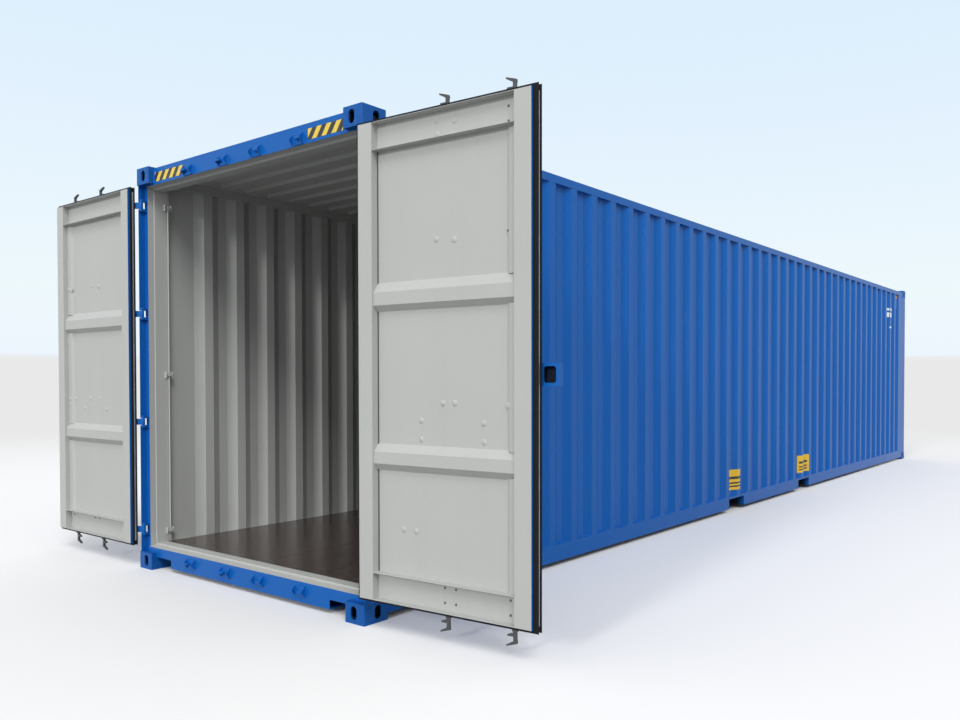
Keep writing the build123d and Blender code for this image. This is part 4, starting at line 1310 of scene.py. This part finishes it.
@dataclass
class LockBoxRim:
    """The pressed rim round the lock box's mouth: a superellipse hole in a flat collar.

    Each loop is (w sign(cos a) |cos a|^(2/e), h sign(sin a) |sin a|^(2/e)) with its own w, h and exponent e.
    """

    outer_half: tuple[float, float] = (0.0488, 0.0538)
    hole_half: tuple[float, float] = (0.0350, 0.0400)
    near_d: float = 0.0172
    far_d: float = 0.0216
    outer_exponent: float = 40.0
    hole_exponent: float = 6.0
    loop_points: int = 40

    def build(self) -> None:
        """Makes the rim on the right leaf."""
        leaf = LeafFrame.of(Side.RIGHT)
        outer = self._loop(self.outer_half, self.outer_exponent)
        hole = self._loop(self.hole_half, self.hole_exponent)
        loops = ((outer, self.far_d), (hole, self.far_d), (hole, self.near_d), (outer, self.near_d),
                 (outer, self.far_d))
        parts = MeshParts()
        parts.tube(np.array([leaf.at(LOCK_BOX.middle_s + across, d, LOCK_BOX.middle_z + up)
                             for (across, up), d in loops]))
        paint = PaintedSteel("lock_box_rim_paint", BLUE).material()
        parts.build("lock_box_rim", paint, "right_door", "blue_paint")

    def _loop(self, half: tuple[float, float], exponent: float) -> tuple[np.ndarray, np.ndarray]:
        """A superellipse's points."""
        angle = np.linspace(0.0, 2 * np.pi, self.loop_points, endpoint=False) + np.pi / self.loop_points
        cos, sin = np.cos(angle), np.sin(angle)
        return (half[0] * np.sign(cos) * np.abs(cos) ** (2 / exponent),
                half[1] * np.sign(sin) * np.abs(sin) ** (2 / exponent))


@dataclass
class LashingBrackets:
    """Small plates that carry the lashing bars' lugs on the jambs."""

    x: float = -5.895
    jamb_y: float = 1.170
    plate_y: float = 1.1665
    ear_y: float = 1.152
    plate_x: tuple[float, float] = (-0.030, 0.030)
    ears_x: Marks = ((-0.026, -0.022), (0.022, 0.026))
    half_height: float = 0.024
    rounding: float = 0.0008
    heights: tuple[float, ...] = (0.250, 1.405, 2.640)

    def build(self) -> None:
        """Makes three plates and their turned-up ears on each side."""
        parts = MeshParts()
        blocks = ((self.plate_x, self.plate_y), *((ear_x, self.ear_y) for ear_x in self.ears_x))
        for side in Side:
            for z in self.heights:
                for (low, high), inner in blocks:
                    low_y, high_y = sorted((inner * side.value, self.jamb_y * side.value))
                    parts.slab((self.x + low, low_y, z - self.half_height),
                               (self.x + high, high_y, z + self.half_height))
        paint = PaintedSteel("lashing_bracket_paint", GREY).material()
        parts.build("lashing_brackets", paint, "root", "grey_paint", bevel=self.rounding)


@dataclass
class Welds:
    """Weld beads on the frame: rippled beads on short joints and plain fillets along the side walls.

    A bead's radius is its size times one less the ripple's share, plus the ripple's share times the
    absolute sine of pi times the length along it over the ripple.
    """

    size: float = 0.0040
    ripple: float = 0.0075
    ripple_share: float = 0.12
    steps_per_ripple: int = 4
    sides: int = 6
    post_y: float = 1.215
    post_z: tuple[float, float] = (0.118, 2.778)
    door_post_x: tuple[float, float] = (-6.086, -5.920)
    front_post_x: tuple[float, float] = (5.920, 6.090)
    front_face_x: float = 6.092
    front_leg_y: tuple[float, float] = (1.092, 1.213)
    beam_y: float = 1.057
    beam_joints: tuple[tuple[float, float, float], ...] = (
        (-6.054, 2.780, 2.882), (-6.054, 0.088, 0.116), (6.092, 2.780, 2.882), (6.092, 0.038, 0.116))
    keeper_x: float = -6.0545
    keeper_z: tuple[float, float] = (0.098, 2.807)
    keeper_half_height: float = 0.031
    keeper_reach: float = 0.062
    keeper_width: float = 0.096
    closed_pin_y: float = 1.195
    wall_x: tuple[float, float] = (-5.917, 5.917)
    rail_z: tuple[tuple[float, int], ...] = ((0.160, 1), (2.800, -1))
    fillet_leg: float = 0.005
    fillet_sink: float = 0.0005
    fillet_outer_y: float = 1.2145

    def build(self) -> None:
        """Makes the beads in the frame's blue."""
        blue = PaintedSteel("weld_blue", BLUE).material()
        beads, fillets = MeshParts(), MeshParts()
        self._post_joints(beads)
        self._beam_joints(beads)
        self._keeper_joints(beads)
        for side in Side:
            for z, up in self.rail_z:
                self._wall_fillet(fillets, side, z, up)
        beads.build("frame_weld_beads", blue, "root", "blue_paint", smooth=True)
        fillets.build("wall_weld_fillets", blue, "root", "blue_paint")

    def _bead(self, parts: MeshParts, start: Sequence[float], end: Sequence[float]) -> None:
        """Adds one rippled bead as rings along a straight joint."""
        start, end = np.array(start, float), np.array(end, float)
        length = np.linalg.norm(end - start)
        along = (end - start) / length
        count = max(int(length / self.ripple * self.steps_per_ripple), self.steps_per_ripple) + 1
        steps = np.linspace(0.0, length, count)
        swell = np.abs(np.sin(np.pi * steps / self.ripple))
        radius = self.size * (1.0 - self.ripple_share + self.ripple_share * swell)
        circle = circle_about(along, self.sides)
        rings = start + steps[:, None, None] * along + radius[:, None, None] * circle[None]
        parts.tube(rings, capped=True)

    def _post_joints(self, parts: MeshParts) -> None:
        """Beads where the corner posts meet the castings above and below them."""
        for side in Side:
            y = self.post_y * side.value
            inner_y, outer_y = (leg * side.value for leg in self.front_leg_y)
            for z in self.post_z:
                for start_x, end_x in (self.door_post_x, self.front_post_x):
                    self._bead(parts, (start_x, y, z), (end_x, y, z))
                self._bead(parts, (self.front_face_x, inner_y, z), (self.front_face_x, outer_y, z))

    def _beam_joints(self, parts: MeshParts) -> None:
        """Beads where header, sill and front beams meet the castings."""
        for side in Side:
            y = self.beam_y * side.value
            for x, low_z, high_z in self.beam_joints:
                self._bead(parts, (x, y, low_z), (x, y, high_z))

    def _keeper_joints(self, parts: MeshParts) -> None:
        """Upright beads at both ends of every keeper's base plate."""
        for side in Side:
            for rod in LEAF.rod_s:
                far_y = self.closed_pin_y - rod + self.keeper_reach
                for y in (far_y * side.value, (far_y - self.keeper_width) * side.value):
                    for z in self.keeper_z:
                        self._bead(parts, (self.keeper_x, y, z - self.keeper_half_height),
                                   (self.keeper_x, y, z + self.keeper_half_height))

    def _wall_fillet(self, parts: MeshParts, side: Side, z: float, up: int) -> None:
        """Adds a three-sided fillet that follows the wall's folds, above or below a rail."""
        x = WAVE.corners(*self.wall_x)
        sunk, leg = WAVE.face(x) - self.fillet_sink, WAVE.face(x) + self.fillet_leg
        corners = ((sunk, z), (leg, z), (sunk, z + up * self.fillet_leg))
        lines = []
        for out, height in corners:
            y = np.minimum(out, self.fillet_outer_y) * side.value
            lines.append(np.stack([x, y, np.full_like(x, height)], axis=-1))
        parts.tube(np.stack(lines, axis=1), capped=True)


@dataclass
class PlywoodFloor:
    """Floor sheets laid in two rows with narrow joints, and rows of screws across them."""

    low_z: float = 0.142
    top_z: float = 0.170
    half_width: float = 1.166
    start_x: float = -5.918
    end_x: float = 6.030
    narrow_from_x: float = 5.918
    narrow_half: float = 1.090
    joint: float = 0.0016
    edge: float = 0.0012
    sheets: int = 5
    screw_pitch: float = 0.29
    screw_margins: tuple[float, float] = (0.06, 0.03)
    screw_rows: tuple[float, ...] = (0.03, 0.30, 0.58, 0.86, 1.05)
    screw_sink: float = 0.0008

    def build(self) -> None:
        """Makes the sheets and the screws."""
        ply = FilmedPlywood("floor_plywood", (0.030, 0.019, 0.016), (0.066, 0.040, 0.031)).material()
        steel = BareSteel("floor_screw_steel", (0.42, 0.41, 0.40), roughness=0.5).material()
        boards, screws = MeshParts(), MeshParts()
        ends = np.linspace(self.start_x, self.narrow_from_x, self.sheets + 1)
        for start, end in zip(ends[:-1], ends[1:]):
            for side in Side:
                self._sheet(boards, (start, end), side, self.half_width)
        for side in Side:
            self._sheet(boards, (self.narrow_from_x, self.end_x), side, self.narrow_half)
        first, last = self.screw_margins
        screw_x = np.arange(self.start_x + first, self.end_x - last, self.screw_pitch)
        screw_y = np.array(self.screw_rows)
        x, y = np.meshgrid(screw_x, np.concatenate((-screw_y[::-1], screw_y)), indexing="ij")
        places = np.stack([x.ravel(), y.ravel(), np.full(x.size, self.top_z - self.screw_sink)], axis=-1)
        screws.turned(SCREW, places, UP, SMALL_SIDES)
        floor = boards.build("plywood_floor", ply, "root", "plywood")
        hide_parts("floor_boards")
        screws.build("floor_screws", steel, "root", "galvanised_steel")

    def _sheet(self, parts: MeshParts, x_span: tuple[float, float], side: Side, half_width: float) -> None:
        """Adds one sheet as an upright section, chamfered on top, carried along X."""
        inner, outer = self.joint / 2, half_width
        y = np.array((inner, outer, outer, outer - self.edge, inner + self.edge, inner)) * side.value
        z = np.array((self.low_z, self.low_z, self.top_z - self.edge, self.top_z, self.top_z,
                      self.top_z - self.edge))
        start, end = x_span
        parts.along_x(np.stack([y, z], axis=-1), start + self.joint / 2, end - self.joint / 2)


@dataclass
class Ventilators:
    """Moulded ventilator covers on the side walls, with a bevelled front and slanting louvres."""

    x: tuple[float, float] = (-5.560, 5.560)
    # The rings' depth behind the cover's front, and their inset from its outline.
    rings: Marks = ((0.020, 0.0), (0.006, 0.0), (0.002, 0.004), (0.001, 0.010))
    # One louvre's section, as depth behind the front and height about its middle.
    louvre: Marks = ((0.0012, 0.009), (0.0002, -0.006), (0.0012, -0.009))
    louvre_z: tuple[float, ...] = (-0.045, -0.015, 0.015, 0.045)
    louvre_margin: float = 0.022

    def build(self) -> None:
        """Makes a cover over each CAD ventilator."""
        plastic = PlainCoat("ventilator_plastic", (0.018, 0.130, 0.420), roughness=0.5).material()
        low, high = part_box("ventilators")
        half_width = self._width() / 2
        covers = MeshParts()
        for side in Side:
            for x in self.x:
                self._cover(covers, side, (x - half_width, x + half_width), (low.z, high.z), high.y)
        piece = covers.build("ventilator_covers", plastic, "root", "vent_plastic", smooth=True)
        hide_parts("ventilators")

    def _width(self) -> float:
        """Width of the CAD ventilators nearest the front."""
        vertices = bpy.data.objects["ventilators"].data.vertices
        points = np.empty(3 * len(vertices), np.float32)
        vertices.foreach_get("co", points)
        x = points[::3]
        return float(x[x > 0].max()) - float(x[x > 0].min())

    def _cover(self, parts: MeshParts, side: Side, x_span: tuple[float, float], z_span: tuple[float, float],
               outer_y: float) -> None:
        """Adds a cover as rings that step in towards its front, and four louvre ridges."""
        (low_x, high_x), (low_z, high_z) = x_span, z_span
        rings = []
        for depth, inset in self.rings:
            y = (outer_y - depth) * side.value
            near_x, far_x = low_x + inset, high_x - inset
            near_z, far_z = low_z + inset, high_z - inset
            rings.append([(near_x, y, near_z), (far_x, y, near_z), (far_x, y, far_z), (near_x, y, far_z)])
        parts.tube(np.array(rings), capped=True)
        for z in (low_z + high_z) / 2 + np.array(self.louvre_z):
            section = np.array([((outer_y - depth) * side.value, z + rise) for depth, rise in self.louvre])
            parts.along_x(section, low_x + self.louvre_margin, high_x - self.louvre_margin)


GROUND: Colour = (0.815, 0.815, 0.815)


@dataclass(frozen=True)
class Sun:
    """A sun lamp: the direction to it, the width of its disc in degrees, its strength and its colour."""

    name: str
    towards: tuple[float, float, float]
    width: float
    strength: float
    colour: Colour


@dataclass
class Studio:
    """Pale floor, plain backdrop, soft lights and the photograph's camera."""

    camera_place: tuple[float, float, float] = (-9.155, -4.732, 1.374)
    camera_forward: tuple[float, float, float] = (0.8014, 0.5979, -0.0189)
    lens: float = 30.915
    sensor: float = 36.0
    shift: tuple[float, float] = (-0.0644, 0.0364)
    sight: float = 400.0
    floor_half: float = 90.0
    floor_roughness: float = 0.95
    # The floor's tones near and far as the camera sees them, and the darker one that lights the container.
    near_tone: Colour = (0.86, 0.86, 0.86)
    far_tone: Colour = (0.80, 0.80, 0.80)
    bounce_tone: Colour = (0.24, 0.24, 0.24)
    # Distances from the camera, in metres, over which the tone changes and over which the floor fades out.
    tone_span: tuple[float, float] = (3.0, 16.0)
    fade_span: tuple[float, float] = (12.0, 26.0)
    sky_light: Colour = (0.975, 0.985, 1.0)
    sky_strength: float = 0.76
    sky: tuple[tuple[float, Colour], ...] = (
        (0.0, GROUND), (0.0230, GROUND), (0.0250, (0.848, 0.922, 0.991)), (0.10, (0.855, 0.945, 0.975)),
        (0.24, (0.783, 0.896, 0.991)), (0.38, (0.723, 0.863, 0.982)))
    suns: tuple[Sun, ...] = (Sun("key", (-0.92, -0.10, 0.36), 10.0, 1.20, (1.0, 0.99, 0.97)),
                             Sun("fill", (-0.42, -0.58, 0.70), 24.0, 1.40, (1.0, 1.0, 1.0)))

    def build(self) -> None:
        """Makes everything that isn't part of the container."""
        self._camera()
        self._floor()
        self._world()
        self._lamps()

    def _camera(self) -> None:
        """Puts the camera where the photograph's vanishing points place it."""
        data = bpy.data.cameras.new("photo_camera")
        data.lens = self.lens
        data.sensor_width = self.sensor
        data.shift_x, data.shift_y = self.shift
        data.clip_end = self.sight
        camera = bpy.data.objects.new("photo_camera", data)
        camera.location = self.camera_place
        camera.rotation_euler = Vector(self.camera_forward).to_track_quat("-Z", "Y").to_euler()
        bpy.context.scene.collection.objects.link(camera)
        bpy.context.scene.camera = camera

    def _floor(self) -> None:
        """Lays the plain pale floor at the castings' feet."""
        half = self.floor_half
        corners = ((-half, -half, 0.0), (half, -half, 0.0), (half, half, 0.0), (-half, half, 0.0))
        mesh = bpy.data.meshes.new("studio_floor")
        mesh.from_pydata(corners, [], [(0, 1, 2, 3)])
        mesh.materials.append(self._floor_material())
        floor = bpy.data.objects.new("studio_floor", mesh)
        bpy.context.scene.collection.objects.link(floor)

    def _floor_material(self) -> bpy.types.Material:
        """Even and matt; with distance from the camera it fades into the backdrop's ground tone."""
        tree = Tree("studio_floor_grey")
        x, y, _ = tree.place()
        camera_x, camera_y, _ = self.camera_place
        distance = ((x - camera_x).power(2.0) + (y - camera_y).power(2.0)).power(0.5)
        tone = tree.mix(distance.ramp(*self.tone_span), self.near_tone, self.far_tone)
        tone = tree.mix(self._seen(tree), self.bounce_tone, tone)
        matt = {"Base Color": tone, "Roughness": self.floor_roughness}
        near = tree.node("ShaderNodeBsdfPrincipled", inputs=matt)
        far = tree.node("ShaderNodeEmission", inputs={"Color": GROUND})
        faded = {0: distance.ramp(*self.fade_span), 1: near, 2: far}
        tree.node_output(tree.node("ShaderNodeMixShader", inputs=faded))
        return tree.material

    @staticmethod
    def _seen(tree: Tree) -> Val:
        """Mask of the rays that show the background: from the camera, a reflection or glass."""
        rays = [tree.node("ShaderNodeLightPath", output=name)
                for name in ("Is Camera Ray", "Is Glossy Ray", "Is Transmission Ray")]
        return rays[0] | rays[1] | rays[2]

    def _world(self) -> None:
        """Lights the scene evenly, and shows the camera a pale sky over a pale ground by direction."""
        world = bpy.data.worlds.new("soft_sky")
        tree = Tree("soft_sky", world)
        _, _, up = tree.split(tree.node("ShaderNodeTexCoord", output="Generated"))
        colour = tree.ramp(up, self.sky)
        seen = tree.node("ShaderNodeBackground", inputs={"Color": colour})
        light = tree.node("ShaderNodeBackground",
                          inputs={"Color": self.sky_light, "Strength": self.sky_strength})
        tree.node_output(tree.node("ShaderNodeMixShader", inputs={0: self._seen(tree), 1: light, 2: seen}))
        bpy.context.scene.world = world

    def _lamps(self) -> None:
        """Hangs the suns, one from the door end and one from above the side."""
        for sun in self.suns:
            data = bpy.data.lights.new(sun.name, "SUN")
            data.angle = math.radians(sun.width)
            data.energy = sun.strength
            data.color = sun.colour
            lamp = bpy.data.objects.new(sun.name, data)
            lamp.rotation_euler = Vector(sun.towards).to_track_quat("Z", "Y").to_euler()
            bpy.context.scene.collection.objects.link(lamp)


def main() -> None:
    """Dresses the container and sets the stage."""
    logging.basicConfig(level=logging.INFO, format="%(name)s: %(message)s")
    SteelWork().apply()
    HazardMarkings().build()
    WallMarkings().build()
    for side in Side:
        Gasket(side).build()
        LeafDetails(side).build()
    LockBoxRim().build()
    LashingBrackets().build()
    Welds().build()
    PlywoodFloor().build()
    Ventilators().build()
    Studio().build()
    bpy.context.scene.view_settings.view_transform = "Standard"


if __name__ == "__main__":
    main()
